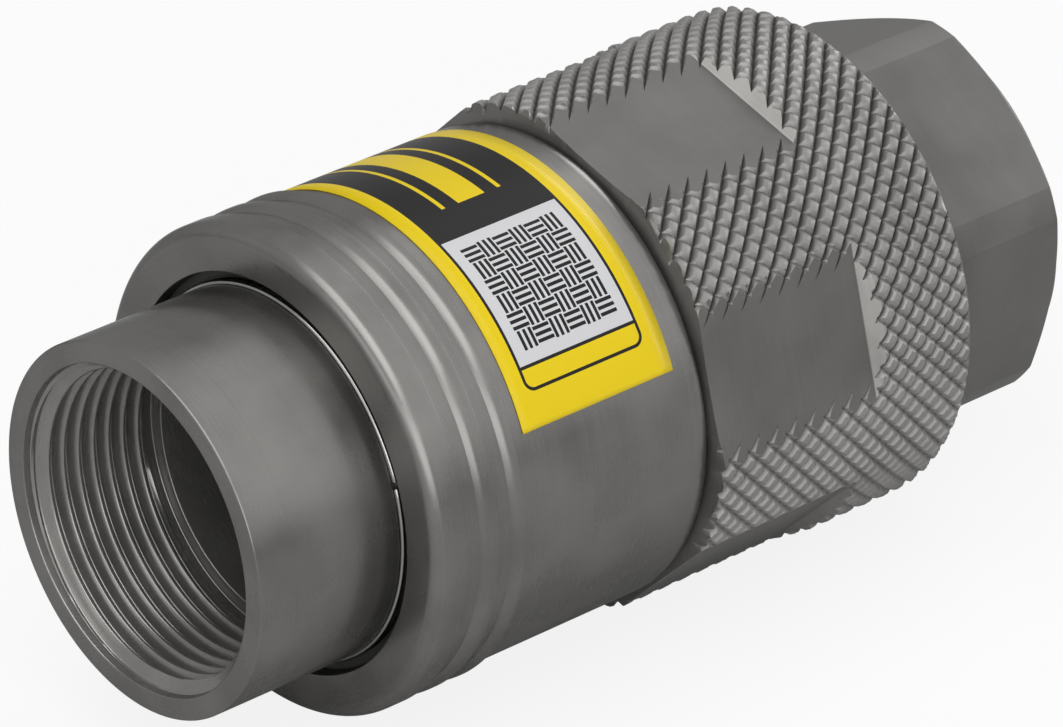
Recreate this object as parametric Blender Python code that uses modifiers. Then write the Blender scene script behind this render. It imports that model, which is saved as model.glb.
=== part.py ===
"""Screw-to-connect hydraulic quick coupling, male and female halves joined.

The coupling lies along X. The origin is the centre of the rear port's mouth, on the
female half, and +X runs through the female half to the port tube of the male half.
A station is a distance along X from the origin.
"""

import math

import bmesh
import bpy
import numpy as np
from mathutils import Matrix

MM = 0.001
DEGREE = math.pi / 180.0

# Clearances
RUNNING_GAP = 0.3 * MM
SEAT_GAP = 0.3 * MM
NUT_TO_SLEEVE_GAP = 0.4 * MM
SEAL_CLEARANCE = 0.1 * MM
RING_SIDE_CLEARANCE = 0.25 * MM

# Pipe ports, both threaded G 1 1/4
PORT_MAJOR_RADIUS = 20.955 * MM
PORT_THREAD_HEIGHT = 1.479 * MM
PORT_THREAD_DEPTH = 18.6 * MM
PORT_RELIEF_LENGTH = 2.4 * MM
PORT_RELIEF_DEPTH = 0.25 * MM

# Motion of the halves
STROKE = 14.0 * MM

# Female port body, a hexagon turned down at its corners
HEX_WALL = 3.245 * MM
HEX_CORNER_HEIGHT = 2.6 * MM
HEX_LENGTH = 22.7 * MM
HEX_CORNER_ANGLE = 20.7 * DEGREE
HEX_CHAMFER_ANGLE = 30.0 * DEGREE
PORT_SHOULDER_LENGTH = 1.4 * MM
GUIDE_SEAT_WIDTH = 2.0 * MM
NECK_WALL = 3.8 * MM

# Locking nut
NUT_WALL = 6.0 * MM
NUT_LENGTH = 42.8 * MM
NUT_FLAT_DEPTH = 1.7 * MM
NUT_FLAT_LENGTH = 26.1 * MM
NUT_FLAT_ANGLE = 14.8 * DEGREE
NUT_FLAT_WALL_LEAN = 45.0 * DEGREE
NUT_FLAT_COUNT = 6
NUT_LIP_LENGTH = 6.2 * MM
NUT_EDGE = 0.6 * MM
NUT_MOUTH_DEPTH = 1.5 * MM
NUT_THREAD_LENGTH = 16.0 * MM
NUT_RELIEF_DEPTH = 1.4 * MM
BEARING_RING_THICKNESS = 1.8 * MM
BEARING_RING_WIDTH = 1.9 * MM

# Female socket, screwed on the port body's neck
SOCKET_WALL = 4.7 * MM
SOCKET_STEP_WIDTH = 5.0 * MM
SOCKET_FLANGE_WALL = 2.2 * MM
SKIRT_TIP_CLEARANCE = 1.0 * MM
SOCKET_MOUTH_CHAMFER = 0.6 * MM
FRONT_SEAL_SETBACK = 3.1 * MM
FRONT_SEAL_WIRE_RADIUS = 1.15 * MM
FRONT_SEAL_FLOOR_GAP = 0.4 * MM
BACKUP_RING_THICKNESS = 1.2 * MM
BACKUP_RING_GAP = 0.35 * MM
BODY_SEAL_WIRE_RADIUS = 1.05 * MM
BODY_SEAL_SETBACK = 0.9 * MM

# Flat-face valve of the female half: fixed stem and sliding sleeve
VALVE_RADIUS = 12.0 * MM
VALVE_SLEEVE_LENGTH = 9.4 * MM
VALVE_SLEEVE_SKIRT_LENGTH = 3.0 * MM
VALVE_SLEEVE_SKIRT_WALL = 1.9 * MM
STEM_TAIL_RADIUS = 4.0 * MM
STEM_NECK_STEP = 1.0 * MM
STEM_SHOULDER_STEP = 1.5 * MM
STEM_SHOULDER_LENGTH = 2.0 * MM
STEM_HEAD_LENGTH = 5.0 * MM
STEM_CONE_LENGTH = 4.5 * MM
STEM_NUT_THICKNESS = 5.0 * MM
STEM_NUT_WALL = 2.5 * MM
STEM_TAIL_STAND_OUT = 0.8 * MM
VALVE_SEAL_WIRE_RADIUS = 0.85 * MM
VALVE_SEAL_FLOOR_GAP = 0.2 * MM
VALVE_SEAL_SETBACK = 1.0 * MM

# Guides that carry the stem and the poppet, drilled for the flow
GUIDE_THICKNESS = 5.0 * MM
GUIDE_HOLE_COUNT = 6
GUIDE_HUB_WALL = 2.4 * MM

# Springs
SPRING_LENGTH = 12.3 * MM
SPRING_TURNS = 4.25
SPRING_WIRE_RADIUS = 0.9 * MM
SPRING_EDGE_CLEARANCE = 0.6 * MM
SPRING_ROD_CLEARANCE = 0.5 * MM

# Male front body: threaded skirt outside, nose inside
SKIRT_WALL = 3.7 * MM
SKIRT_EDGE = 0.6 * MM
NOSE_TIP_LENGTH = 3.7 * MM
NOSE_TIP_STEP = 2.9 * MM
NOSE_WALL = 2.5 * MM
WEB_THICKNESS = 2.6 * MM
CHAMBER_STEP = 3.8 * MM
MALE_BODY_WALL = 4.7 * MM
COLLAR_HEIGHT = 1.6 * MM
COLLAR_LENGTH = 3.8 * MM
POPPET_FLANGE_STEP = 1.8 * MM
POPPET_FLANGE_RIM = 0.8 * MM
POPPET_ROD_RADIUS = 5.0 * MM
POPPET_ROD_OVERRUN = 1.0 * MM
POPPET_SEAL_SETBACK = 0.7 * MM

# Male port tube
TUBE_WALL = 3.045 * MM
TUBE_PROTRUSION = 20.94 * MM
TUBE_RIM = 1.0 * MM
TUBE_BORE_STEP = 0.976 * MM
SPIGOT_WALL = 3.5 * MM
SPIGOT_LENGTH = 8.6 * MM

# Label sleeve: smooth behind, two grooves between three lands in front
LABEL_SLEEVE_LENGTH = 43.86 * MM
LABEL_WALL = 3.7 * MM
LAND_HEIGHT = 0.6 * MM
GROOVE_DEPTH = 0.7 * MM
FRONT_LAND_LENGTH = 5.46 * MM
FRONT_GROOVE_LENGTH = 1.9 * MM
MIDDLE_LAND_LENGTH = 2.1 * MM
REAR_GROOVE_LENGTH = 2.8 * MM
REAR_LAND_LENGTH = 1.6 * MM
GROOVE_FLANK = 0.3 * MM
SLEEVE_FRONT_ROUND = 1.6 * MM
SLEEVE_REAR_ROUND = 1.2 * MM
SLEEVE_MOUTH_GAP = 2.1 * MM
SLEEVE_MOUTH_CHAMFER = 0.6 * MM
RETAINING_WIRE_RADIUS = 0.75 * MM
RETAINING_RING_SETBACK = 1.2 * MM
RETAINING_RING_SPLIT = 5.0 * DEGREE
RETAINING_RING_SPLIT_ANGLE = 19.0 * DEGREE

# Facets and the modelling tools' own limits
OUTER_SEGMENTS = 42
INNER_SEGMENTS = 30
SEAL_SEGMENTS = 24
SEAL_SIDES = 6
HOLE_SEGMENTS = 16
FILLET_STEPS = 2
SPRING_POINTS_PER_TURN = 10
RING_POINTS = 40
WIRE_RESOLUTION = 2
SHARP_ANGLE = 30.0 * DEGREE
WIRE_SHARP_ANGLE = 50.0 * DEGREE
AXIS_MERGE_DISTANCE = 0.001 * MM
CAP_MERGE_DISTANCE = 0.01 * MM
CUTTER_OVERRUN = 2.0 * MM
EMPTY_DISPLAY_SIZE = 10.0 * MM

# Radii of the ports and of what is turned round them
PORT_MINOR_RADIUS = PORT_MAJOR_RADIUS - PORT_THREAD_HEIGHT
PORT_RELIEF_RADIUS = PORT_MAJOR_RADIUS + PORT_RELIEF_DEPTH
HEX_FLAT_DISTANCE = PORT_MAJOR_RADIUS + HEX_WALL
HEX_CORNER_RADIUS = HEX_FLAT_DISTANCE + HEX_CORNER_HEIGHT
HEX_CHAMFER_LENGTH = HEX_CORNER_HEIGHT * math.tan(HEX_CHAMFER_ANGLE)
TUBE_RADIUS = PORT_MAJOR_RADIUS + TUBE_WALL
TUBE_BORE_RADIUS = PORT_MINOR_RADIUS - TUBE_BORE_STEP
SPIGOT_RADIUS = TUBE_BORE_RADIUS + SPIGOT_WALL
SPIGOT_BORE_RADIUS = SPIGOT_RADIUS + SEAT_GAP
MALE_BODY_RADIUS = SPIGOT_BORE_RADIUS + MALE_BODY_WALL
COLLAR_RADIUS = MALE_BODY_RADIUS + COLLAR_HEIGHT
SLEEVE_BORE_RADIUS = MALE_BODY_RADIUS + SEAT_GAP
SLEEVE_COLLAR_BORE_RADIUS = COLLAR_RADIUS + SEAT_GAP
SLEEVE_LIP_RADIUS = TUBE_RADIUS + SEAT_GAP
SLEEVE_MOUTH_RADIUS = TUBE_RADIUS + SLEEVE_MOUTH_GAP
LABEL_RADIUS = SLEEVE_BORE_RADIUS + LABEL_WALL
LAND_RADIUS = LABEL_RADIUS + LAND_HEIGHT
GROOVE_RADIUS = LAND_RADIUS - GROOVE_DEPTH
RETAINING_RING_RADIUS = TUBE_RADIUS

# Radii that follow from the valve, from the stem out to the nut
VALVE_BORE_RADIUS = VALVE_RADIUS + RUNNING_GAP
NOSE_BORE_RADIUS = VALVE_BORE_RADIUS + NOSE_TIP_STEP
NOSE_RADIUS = NOSE_BORE_RADIUS + NOSE_WALL
CHAMBER_RADIUS = NOSE_BORE_RADIUS + CHAMBER_STEP
POPPET_FLANGE_RADIUS = VALVE_RADIUS + POPPET_FLANGE_STEP
SOCKET_BORE_RADIUS = NOSE_RADIUS + RUNNING_GAP
SOCKET_FRONT_RADIUS = SOCKET_BORE_RADIUS + SOCKET_WALL
SKIRT_BORE_RADIUS = SOCKET_FRONT_RADIUS + RUNNING_GAP
SKIRT_RADIUS = SKIRT_BORE_RADIUS + SKIRT_WALL
NUT_THREAD_RADIUS = SKIRT_RADIUS + RUNNING_GAP
NUT_RELIEF_RADIUS = NUT_THREAD_RADIUS + NUT_RELIEF_DEPTH
NUT_RADIUS = NUT_THREAD_RADIUS + NUT_WALL
NUT_FLAT_DISTANCE = NUT_RADIUS - NUT_FLAT_DEPTH
NECK_RADIUS = SOCKET_BORE_RADIUS + SOCKET_STEP_WIDTH
NECK_BORE_RADIUS = NECK_RADIUS - NECK_WALL
PORT_SHOULDER_RADIUS = NECK_BORE_RADIUS - GUIDE_SEAT_WIDTH
LIP_BORE_RADIUS = NECK_RADIUS + RUNNING_GAP
SOCKET_REAR_BORE_RADIUS = NECK_RADIUS + SEAT_GAP
SOCKET_FLANGE_RADIUS = SOCKET_REAR_BORE_RADIUS + SOCKET_FLANGE_WALL
STEM_NECK_RADIUS = STEM_TAIL_RADIUS + STEM_NECK_STEP
STEM_SHOULDER_RADIUS = STEM_NECK_RADIUS + STEM_SHOULDER_STEP
STEM_NUT_ACROSS_FLATS = 2.0 * (STEM_TAIL_RADIUS + STEM_NUT_WALL)
GUIDE_HUB_RADIUS = POPPET_ROD_RADIUS + GUIDE_HUB_WALL
GUIDE_HOLE_RADIUS = 0.5 * (NOSE_BORE_RADIUS - GUIDE_HUB_RADIUS)
GUIDE_HOLE_CIRCLE = 0.5 * (NOSE_BORE_RADIUS + GUIDE_HUB_RADIUS)
FEMALE_SPRING_RADIUS = NOSE_RADIUS - SPRING_EDGE_CLEARANCE - SPRING_WIRE_RADIUS
MALE_SPRING_RADIUS = POPPET_ROD_RADIUS + SPRING_ROD_CLEARANCE + SPRING_WIRE_RADIUS

# Ports and seal grooves that follow from what they hold
PORT_MOUTH_CHAMFER = PORT_THREAD_HEIGHT
FRONT_SEAL_RADIUS = SOCKET_BORE_RADIUS + SEAL_CLEARANCE + FRONT_SEAL_WIRE_RADIUS
FRONT_SEAL_GROOVE_RADIUS = FRONT_SEAL_RADIUS + FRONT_SEAL_WIRE_RADIUS + FRONT_SEAL_FLOOR_GAP
FRONT_SEAL_GROOVE_LENGTH = (
    RING_SIDE_CLEARANCE + BACKUP_RING_THICKNESS + BACKUP_RING_GAP + 2.0 * FRONT_SEAL_WIRE_RADIUS + SEAT_GAP
)
BODY_SEAL_GROOVE_LENGTH = 2.0 * (BODY_SEAL_WIRE_RADIUS + SEAT_GAP)
BODY_SEAL_RADIUS = SOCKET_REAR_BORE_RADIUS - SEAT_GAP - BODY_SEAL_WIRE_RADIUS
BODY_SEAL_FLOOR = BODY_SEAL_RADIUS - BODY_SEAL_WIRE_RADIUS - SEAT_GAP
SPIGOT_SEAL_RADIUS = SPIGOT_BORE_RADIUS - SEAT_GAP - BODY_SEAL_WIRE_RADIUS
SPIGOT_SEAL_FLOOR = SPIGOT_SEAL_RADIUS - BODY_SEAL_WIRE_RADIUS - SEAT_GAP
VALVE_SEAL_GROOVE_LENGTH = 2.0 * (VALVE_SEAL_WIRE_RADIUS + SEAT_GAP)
VALVE_SEAL_RADIUS = VALVE_RADIUS - VALVE_SEAL_WIRE_RADIUS - SEAL_CLEARANCE
VALVE_SEAL_FLOOR = VALVE_SEAL_RADIUS - VALVE_SEAL_WIRE_RADIUS - VALVE_SEAL_FLOOR_GAP

# Stations of the female half, from the mouth of the rear port forwards
PORT_DEPTH = PORT_THREAD_DEPTH + PORT_RELIEF_LENGTH
FEMALE_GUIDE_REAR = PORT_DEPTH + PORT_SHOULDER_LENGTH + SEAT_GAP
FEMALE_GUIDE_FRONT = FEMALE_GUIDE_REAR + GUIDE_THICKNESS
FEMALE_SPRING_REAR = FEMALE_GUIDE_FRONT + SEAT_GAP
NECK_FRONT = FEMALE_SPRING_REAR + SPRING_LENGTH - SEAT_GAP
VALVE_SLEEVE_REAR = FEMALE_SPRING_REAR + SPRING_LENGTH + SEAT_GAP
VALVE_SLEEVE_FRONT = VALVE_SLEEVE_REAR + VALVE_SLEEVE_LENGTH
FEMALE_FACE = VALVE_SLEEVE_FRONT + STROKE
NUT_REAR = HEX_LENGTH + RUNNING_GAP
NUT_LIP_FRONT = NUT_REAR + NUT_LIP_LENGTH
BEARING_RING_REAR = NUT_LIP_FRONT + RUNNING_GAP
BEARING_RING_FRONT = BEARING_RING_REAR + BEARING_RING_THICKNESS
SOCKET_REAR = BEARING_RING_FRONT + RUNNING_GAP
SOCKET_STEP = NECK_FRONT + SEAT_GAP
NUT_FRONT = NUT_REAR + NUT_LENGTH
STEM_REAR = FEMALE_GUIDE_REAR - SEAT_GAP - STEM_NUT_THICKNESS - STEM_TAIL_STAND_OUT

# Stations of the male half, coupled
NOSE_TIP = VALVE_SLEEVE_FRONT + RUNNING_GAP
MALE_FACE = FEMALE_FACE + RUNNING_GAP
SLEEVE_REAR = NUT_FRONT + NUT_TO_SLEEVE_GAP
COLLAR_FRONT = SLEEVE_REAR + COLLAR_LENGTH
POPPET_FLANGE_REAR = MALE_FACE + NOSE_TIP_LENGTH + SEAT_GAP
POPPET_CONE_FRONT = POPPET_FLANGE_REAR + POPPET_FLANGE_STEP
POPPET_FLANGE_FRONT = POPPET_CONE_FRONT + POPPET_FLANGE_RIM
MALE_SPRING_REAR = POPPET_FLANGE_FRONT + SEAT_GAP
MALE_GUIDE_REAR = MALE_SPRING_REAR + SPRING_LENGTH + SEAT_GAP
MALE_GUIDE_FRONT = MALE_GUIDE_REAR + GUIDE_THICKNESS
TUBE_REAR = MALE_GUIDE_FRONT + SEAT_GAP
MALE_BODY_FRONT = TUBE_REAR + SPIGOT_LENGTH
TUBE_SHOULDER = MALE_BODY_FRONT + SEAT_GAP
POPPET_FRONT = MALE_GUIDE_FRONT + STROKE + POPPET_ROD_OVERRUN
SLEEVE_FRONT = SLEEVE_REAR + LABEL_SLEEVE_LENGTH
TUBE_FRONT = SLEEVE_FRONT + TUBE_PROTRUSION
RETAINING_RING_STATION = SLEEVE_FRONT - RETAINING_RING_SETBACK
SLEEVE_MOUTH_FLOOR = RETAINING_RING_STATION - RETAINING_WIRE_RADIUS - SEAT_GAP

# Finishes as colour, metallic value and roughness
PLATED_STEEL = ((0.165, 0.158, 0.150), 1.0, 0.42)
TURNED_STEEL = ((0.30, 0.29, 0.28), 1.0, 0.32)
SPRING_STEEL = ((0.42, 0.41, 0.40), 1.0, 0.25)
BRONZE = ((0.42, 0.26, 0.11), 1.0, 0.40)
BLACK_RUBBER = ((0.015, 0.015, 0.015), 0.0, 0.60)
WHITE_PLASTIC = ((0.78, 0.76, 0.70), 0.0, 0.45)


def clear_scene():
    """Remove every object of the open file."""
    for item in list(bpy.data.objects):
        bpy.data.objects.remove(item, do_unlink=True)


def new_collection(name):
    """Add a collection to the scene."""
    collection = bpy.data.collections.new(name)
    bpy.context.scene.collection.children.link(collection)
    return collection


def finish_material(piece, finish):
    """Give a piece its own Principled material."""
    colour, metallic, roughness = finish
    material = bpy.data.materials.new(piece.name + "_finish")
    material.use_nodes = True
    shader = material.node_tree.nodes["Principled BSDF"]
    shader.inputs["Base Color"].default_value = (*colour, 1.0)
    shader.inputs["Metallic"].default_value = metallic
    shader.inputs["Roughness"].default_value = roughness
    material.diffuse_color = (*colour, 1.0)
    piece.data.materials.clear()
    piece.data.materials.append(material)


def adopt(piece, collection, parent=None):
    """Put a piece in one collection only, under its parent empty."""
    for owner in list(piece.users_collection):
        owner.objects.unlink(piece)
    collection.objects.link(piece)
    piece.parent = parent


def axis_empty(name, collection, parent=None):
    """Add an empty on the coupling's axis, which carries one body's pieces."""
    empty = bpy.data.objects.new(name, None)
    empty.empty_display_size = EMPTY_DISPLAY_SIZE
    adopt(empty, collection, parent)
    return empty


def front_round(station, radius, size):
    """Rounded outer edge of a front end, listed from the end face to the outer side."""
    turns = np.linspace(0.0, 0.5 * math.pi, FILLET_STEPS + 1)
    return [(station - size + size * math.cos(a), radius - size + size * math.sin(a)) for a in turns]


def rear_round(station, radius, size):
    """Rounded outer edge of a rear end, listed from the outer side to the end face."""
    turns = np.linspace(0.5 * math.pi, math.pi, FILLET_STEPS + 1)
    return [(station + size + size * math.cos(a), radius - size + size * math.sin(a)) for a in turns]


def turned(name, datum, outer, inner, finish, collection, parent, segments):
    """Turn a piece about the X axis.

    outer lists (station, radius) from the front to the rear, inner from the rear to the front.
    A solid piece has an inner list that is empty and an outer list that starts and ends on the axis.
    """
    section = list(outer) + list(inner)
    mesh = bpy.data.meshes.new(name)
    vertices = [(radius, 0.0, station - datum) for station, radius in section]
    edges = [(i, i + 1) for i in range(len(section) - 1)]
    if inner:
        edges.append((len(section) - 1, 0))
    mesh.from_pydata(vertices, edges, [])
    piece = bpy.data.objects.new(name, mesh)
    adopt(piece, collection, parent)
    piece.location = (datum, 0.0, 0.0)
    piece.rotation_euler = (0.0, 0.5 * math.pi, 0.0)
    screw = piece.modifiers.new("turn", "SCREW")
    screw.axis = "Z"
    screw.angle = 2.0 * math.pi
    screw.steps = segments
    screw.render_steps = segments
    screw.use_merge_vertices = True
    screw.merge_threshold = AXIS_MERGE_DISTANCE
    screw.use_smooth_shade = True
    finish_material(piece, finish)
    return piece


def applied(piece):
    """Turn a piece's modifiers into mesh, shaded smooth between its sharp edges."""
    bpy.context.view_layer.update()
    evaluated = piece.evaluated_get(bpy.context.evaluated_depsgraph_get())
    mesh = bpy.data.meshes.new_from_object(evaluated)
    piece.modifiers.clear()
    piece.data = mesh
    mesh.shade_smooth()
    mesh.set_sharp_from_angle(angle=SHARP_ANGLE)
    return piece


def boolean(piece, cutter, operation):
    """Cut a piece with a cutter, or keep what they share."""
    modifier = piece.modifiers.new(operation.lower(), "BOOLEAN")
    modifier.operation = operation
    modifier.solver = "EXACT"
    modifier.object = cutter


def as_cutter(piece, collection):
    """Set a solid up as a cutter that is never built or rendered."""
    adopt(piece, collection)
    piece.hide_render = True
    piece.display_type = "WIRE"
    return piece


def prism_cutter(name, across_flats, rear, front, corner_angle, collection):
    """Hexagonal prism about the X axis, past both ends, with a corner at corner_angle from +Y towards +Z."""
    bpy.ops.mesh.primitive_cylinder_add(
        vertices=6,
        radius=0.5 * across_flats / math.cos(math.pi / 6.0),
        depth=front - rear + 2.0 * CUTTER_OVERRUN,
    )
    prism = bpy.context.object
    prism.name = name
    turn_to_axis = Matrix.Rotation(0.5 * math.pi, 4, "Y")
    turn_about_axis = Matrix.Rotation(corner_angle, 4, "X")
    prism.data.transform(turn_about_axis @ turn_to_axis)
    prism.location = (0.5 * (front + rear), 0.0, 0.0)
    return as_cutter(prism, collection)


def flats_cutter(name, flats, distance, radius, rear, front, lean, first_angle, collection):
    """Blocks that mill flats in a round, from its front end back to a wall that leans outwards.

    distance is from the axis to a flat, radius that of the round, and lean the wall's angle to its axis.
    """
    shape = bmesh.new()
    reach = radius - distance + CUTTER_OVERRUN
    width = 2.0 * math.sqrt(radius**2 - distance**2) + CUTTER_OVERRUN
    length = front - rear + CUTTER_OVERRUN
    middle = Matrix.Translation((rear + 0.5 * length, distance + 0.5 * reach, 0.0))
    size = Matrix.Diagonal((length, reach, width, 1.0))
    for index in range(flats):
        block = bmesh.ops.create_cube(shape, size=1.0, matrix=middle @ size)["verts"]
        for corner in block:
            if corner.co.x < rear + 0.5 * length and corner.co.y > distance + 0.5 * reach:
                corner.co.x -= reach / math.tan(lean)
        turn = Matrix.Rotation(first_angle + index * 2.0 * math.pi / flats, 4, "X")
        bmesh.ops.transform(shape, matrix=turn, verts=block)
    mesh = bpy.data.meshes.new(name)
    shape.to_mesh(mesh)
    shape.free()
    return as_cutter(bpy.data.objects.new(name, mesh), collection)


def holes_cutter(name, holes, hole_radius, circle_radius, rear, front, collection):
    """Drills parallel to the X axis on one circle, past both ends, all in one cutter."""
    shape = bmesh.new()
    for index in range(holes):
        turn = Matrix.Rotation(index * 2.0 * math.pi / holes, 4, "X")
        place = Matrix.Translation((0.5 * (front + rear), circle_radius, 0.0))
        along = Matrix.Rotation(0.5 * math.pi, 4, "Y")
        bmesh.ops.create_cone(
            shape,
            cap_ends=True,
            segments=HOLE_SEGMENTS,
            radius1=hole_radius,
            radius2=hole_radius,
            depth=front - rear + 2.0 * CUTTER_OVERRUN,
            matrix=turn @ place @ along,
        )
    mesh = bpy.data.meshes.new(name)
    shape.to_mesh(mesh)
    shape.free()
    return as_cutter(bpy.data.objects.new(name, mesh), collection)


def seal_ring(name, station, radius, wire_radius, finish, collection, parent):
    """Round-section ring about the X axis."""
    bpy.ops.mesh.primitive_torus_add(
        major_segments=SEAL_SEGMENTS,
        minor_segments=SEAL_SIDES,
        major_radius=radius,
        minor_radius=wire_radius,
    )
    ring = bpy.context.object
    ring.name = name
    adopt(ring, collection, parent)
    ring.location = (station, 0.0, 0.0)
    ring.rotation_euler = (0.0, 0.5 * math.pi, 0.0)
    ring.data.shade_smooth()
    finish_material(ring, finish)
    return ring


def wire_piece(name, points, wire_radius, datum, finish, collection, parent):
    """Wire of round section along a run of points, as one closed mesh with its datum on the axis."""
    curve = bpy.data.curves.new(name + "_path", "CURVE")
    curve.dimensions = "3D"
    curve.bevel_depth = wire_radius
    curve.bevel_resolution = WIRE_RESOLUTION
    curve.use_fill_caps = True
    spline = curve.splines.new("POLY")
    spline.points.add(len(points) - 1)
    coordinates = np.column_stack([np.asarray(points) - (datum, 0.0, 0.0), np.ones(len(points))])
    spline.points.foreach_set("co", coordinates.ravel())
    path = bpy.data.objects.new(name + "_path", curve)
    collection.objects.link(path)
    bpy.context.view_layer.update()
    evaluated = path.evaluated_get(bpy.context.evaluated_depsgraph_get())
    mesh = bpy.data.meshes.new_from_object(evaluated)
    mesh.name = name
    shape = bmesh.new()
    shape.from_mesh(mesh)
    bmesh.ops.remove_doubles(shape, verts=shape.verts, dist=CAP_MERGE_DISTANCE)
    bmesh.ops.recalc_face_normals(shape, faces=shape.faces)
    shape.to_mesh(mesh)
    shape.free()
    wire = bpy.data.objects.new(name, mesh)
    bpy.data.objects.remove(path, do_unlink=True)
    adopt(wire, collection, parent)
    wire.location = (datum, 0.0, 0.0)
    mesh.shade_smooth()
    mesh.set_sharp_from_angle(angle=WIRE_SHARP_ANGLE)
    finish_material(wire, finish)
    return wire


def coil_points(rear, length, mean_radius, wire_radius, turns):
    """Helix about the X axis whose wire fills the length between its two seats."""
    count = int(round(turns * SPRING_POINTS_PER_TURN)) + 1
    share = np.linspace(0.0, 1.0, count)
    angle = 2.0 * math.pi * turns * share
    station = rear + wire_radius + (length - 2.0 * wire_radius) * share
    return np.column_stack([station, mean_radius * np.cos(angle), mean_radius * np.sin(angle)])


def ring_points(station, radius, split_angle, split):
    """Arc about the X axis that leaves a gap of the split at split_angle."""
    angle = split_angle + np.linspace(0.5 * split, 2.0 * math.pi - 0.5 * split, RING_POINTS)
    return np.column_stack([np.full(RING_POINTS, station), radius * np.cos(angle), radius * np.sin(angle)])


def port_bore(mouth, inward):
    """Threaded port from its relief out to its mouth, with the thread at its minor radius.

    inward is -1 where the port opens towards +X and 1 where it opens towards -X.
    """
    relief_end = mouth + inward * PORT_DEPTH
    thread_end = mouth + inward * PORT_THREAD_DEPTH
    return [
        (relief_end, PORT_RELIEF_RADIUS),
        (thread_end, PORT_RELIEF_RADIUS),
        (thread_end, PORT_MINOR_RADIUS),
        (mouth + inward * PORT_MOUTH_CHAMFER, PORT_MINOR_RADIUS),
        (mouth, PORT_MAJOR_RADIUS),
    ]


def groove(rear, front, side_radius, floor_radius):
    """Square groove, listed from its rear edge to its front edge."""
    return [(rear, side_radius), (rear, floor_radius), (front, floor_radius), (front, side_radius)]


def build_female_port_body(parts, cutters, parent):
    """Hexagonal rear body: pipe port, chamfered corners and the neck that carries the nut."""
    seal_front = NECK_FRONT - BODY_SEAL_SETBACK
    seal_rear = seal_front - BODY_SEAL_GROOVE_LENGTH
    outer = [
        (NECK_FRONT, NECK_RADIUS),
        *reversed(groove(seal_rear, seal_front, NECK_RADIUS, BODY_SEAL_FLOOR)),
        (HEX_LENGTH, NECK_RADIUS),
        (HEX_LENGTH, HEX_CORNER_RADIUS),
        (HEX_CHAMFER_LENGTH, HEX_CORNER_RADIUS),
        (0.0, HEX_FLAT_DISTANCE),
    ]
    inner = [
        *reversed(port_bore(0.0, 1)),
        (PORT_DEPTH, PORT_SHOULDER_RADIUS),
        (PORT_DEPTH + PORT_SHOULDER_LENGTH, PORT_SHOULDER_RADIUS),
        (PORT_DEPTH + PORT_SHOULDER_LENGTH, NECK_BORE_RADIUS),
        (NECK_FRONT, NECK_BORE_RADIUS),
    ]
    body = turned("female_port_body", 0.0, outer, inner, PLATED_STEEL, parts, parent, OUTER_SEGMENTS)
    mill = flats_cutter(
        "hexagon_mill",
        6,
        HEX_FLAT_DISTANCE,
        HEX_CORNER_RADIUS,
        -CUTTER_OVERRUN,
        HEX_LENGTH,
        0.5 * math.pi,
        HEX_CORNER_ANGLE + math.pi / 6.0,
        cutters,
    )
    boolean(body, mill, "DIFFERENCE")
    applied(body)


def build_female_socket(parts, parent):
    """Socket that takes the male nose, screwed over the neck and holding the nut's lip."""
    groove_front = FEMALE_FACE - FRONT_SEAL_SETBACK
    groove_rear = groove_front - FRONT_SEAL_GROOVE_LENGTH
    flange_front = NOSE_TIP - SKIRT_TIP_CLEARANCE
    mouth_rear = FEMALE_FACE - SOCKET_MOUTH_CHAMFER
    outer = [
        (FEMALE_FACE, SOCKET_FRONT_RADIUS - SOCKET_MOUTH_CHAMFER),
        (mouth_rear, SOCKET_FRONT_RADIUS),
        (flange_front, SOCKET_FRONT_RADIUS),
        (flange_front, SOCKET_FLANGE_RADIUS),
        (SOCKET_REAR, SOCKET_FLANGE_RADIUS),
    ]
    inner = [
        (SOCKET_REAR, SOCKET_REAR_BORE_RADIUS),
        (SOCKET_STEP, SOCKET_REAR_BORE_RADIUS),
        (SOCKET_STEP, SOCKET_BORE_RADIUS),
        *groove(groove_rear, groove_front, SOCKET_BORE_RADIUS, FRONT_SEAL_GROOVE_RADIUS),
        (mouth_rear, SOCKET_BORE_RADIUS),
        (FEMALE_FACE, SOCKET_BORE_RADIUS + SOCKET_MOUTH_CHAMFER),
    ]
    applied(turned("female_socket", SOCKET_REAR, outer, inner, TURNED_STEEL, parts, parent, INNER_SEGMENTS))

    seal_station = groove_front - SEAT_GAP - FRONT_SEAL_WIRE_RADIUS
    seal_ring(
        "socket_seal",
        seal_station,
        FRONT_SEAL_RADIUS,
        FRONT_SEAL_WIRE_RADIUS,
        BLACK_RUBBER,
        parts,
        parent,
    )
    backup_rear = groove_rear + RING_SIDE_CLEARANCE
    backup_outer_radius = FRONT_SEAL_GROOVE_RADIUS - SEAT_GAP
    backup_inner_radius = SOCKET_BORE_RADIUS + SEAL_CLEARANCE
    applied(
        turned(
            "socket_backup_ring",
            backup_rear,
            [
                (backup_rear + BACKUP_RING_THICKNESS, backup_outer_radius),
                (backup_rear, backup_outer_radius),
            ],
            [
                (backup_rear, backup_inner_radius),
                (backup_rear + BACKUP_RING_THICKNESS, backup_inner_radius),
            ],
            WHITE_PLASTIC,
            parts,
            parent,
            INNER_SEGMENTS,
        )
    )
    seal_ring(
        "female_body_seal",
        NECK_FRONT - BODY_SEAL_SETBACK - 0.5 * BODY_SEAL_GROOVE_LENGTH,
        BODY_SEAL_RADIUS,
        BODY_SEAL_WIRE_RADIUS,
        BLACK_RUBBER,
        parts,
        parent,
    )


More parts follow.
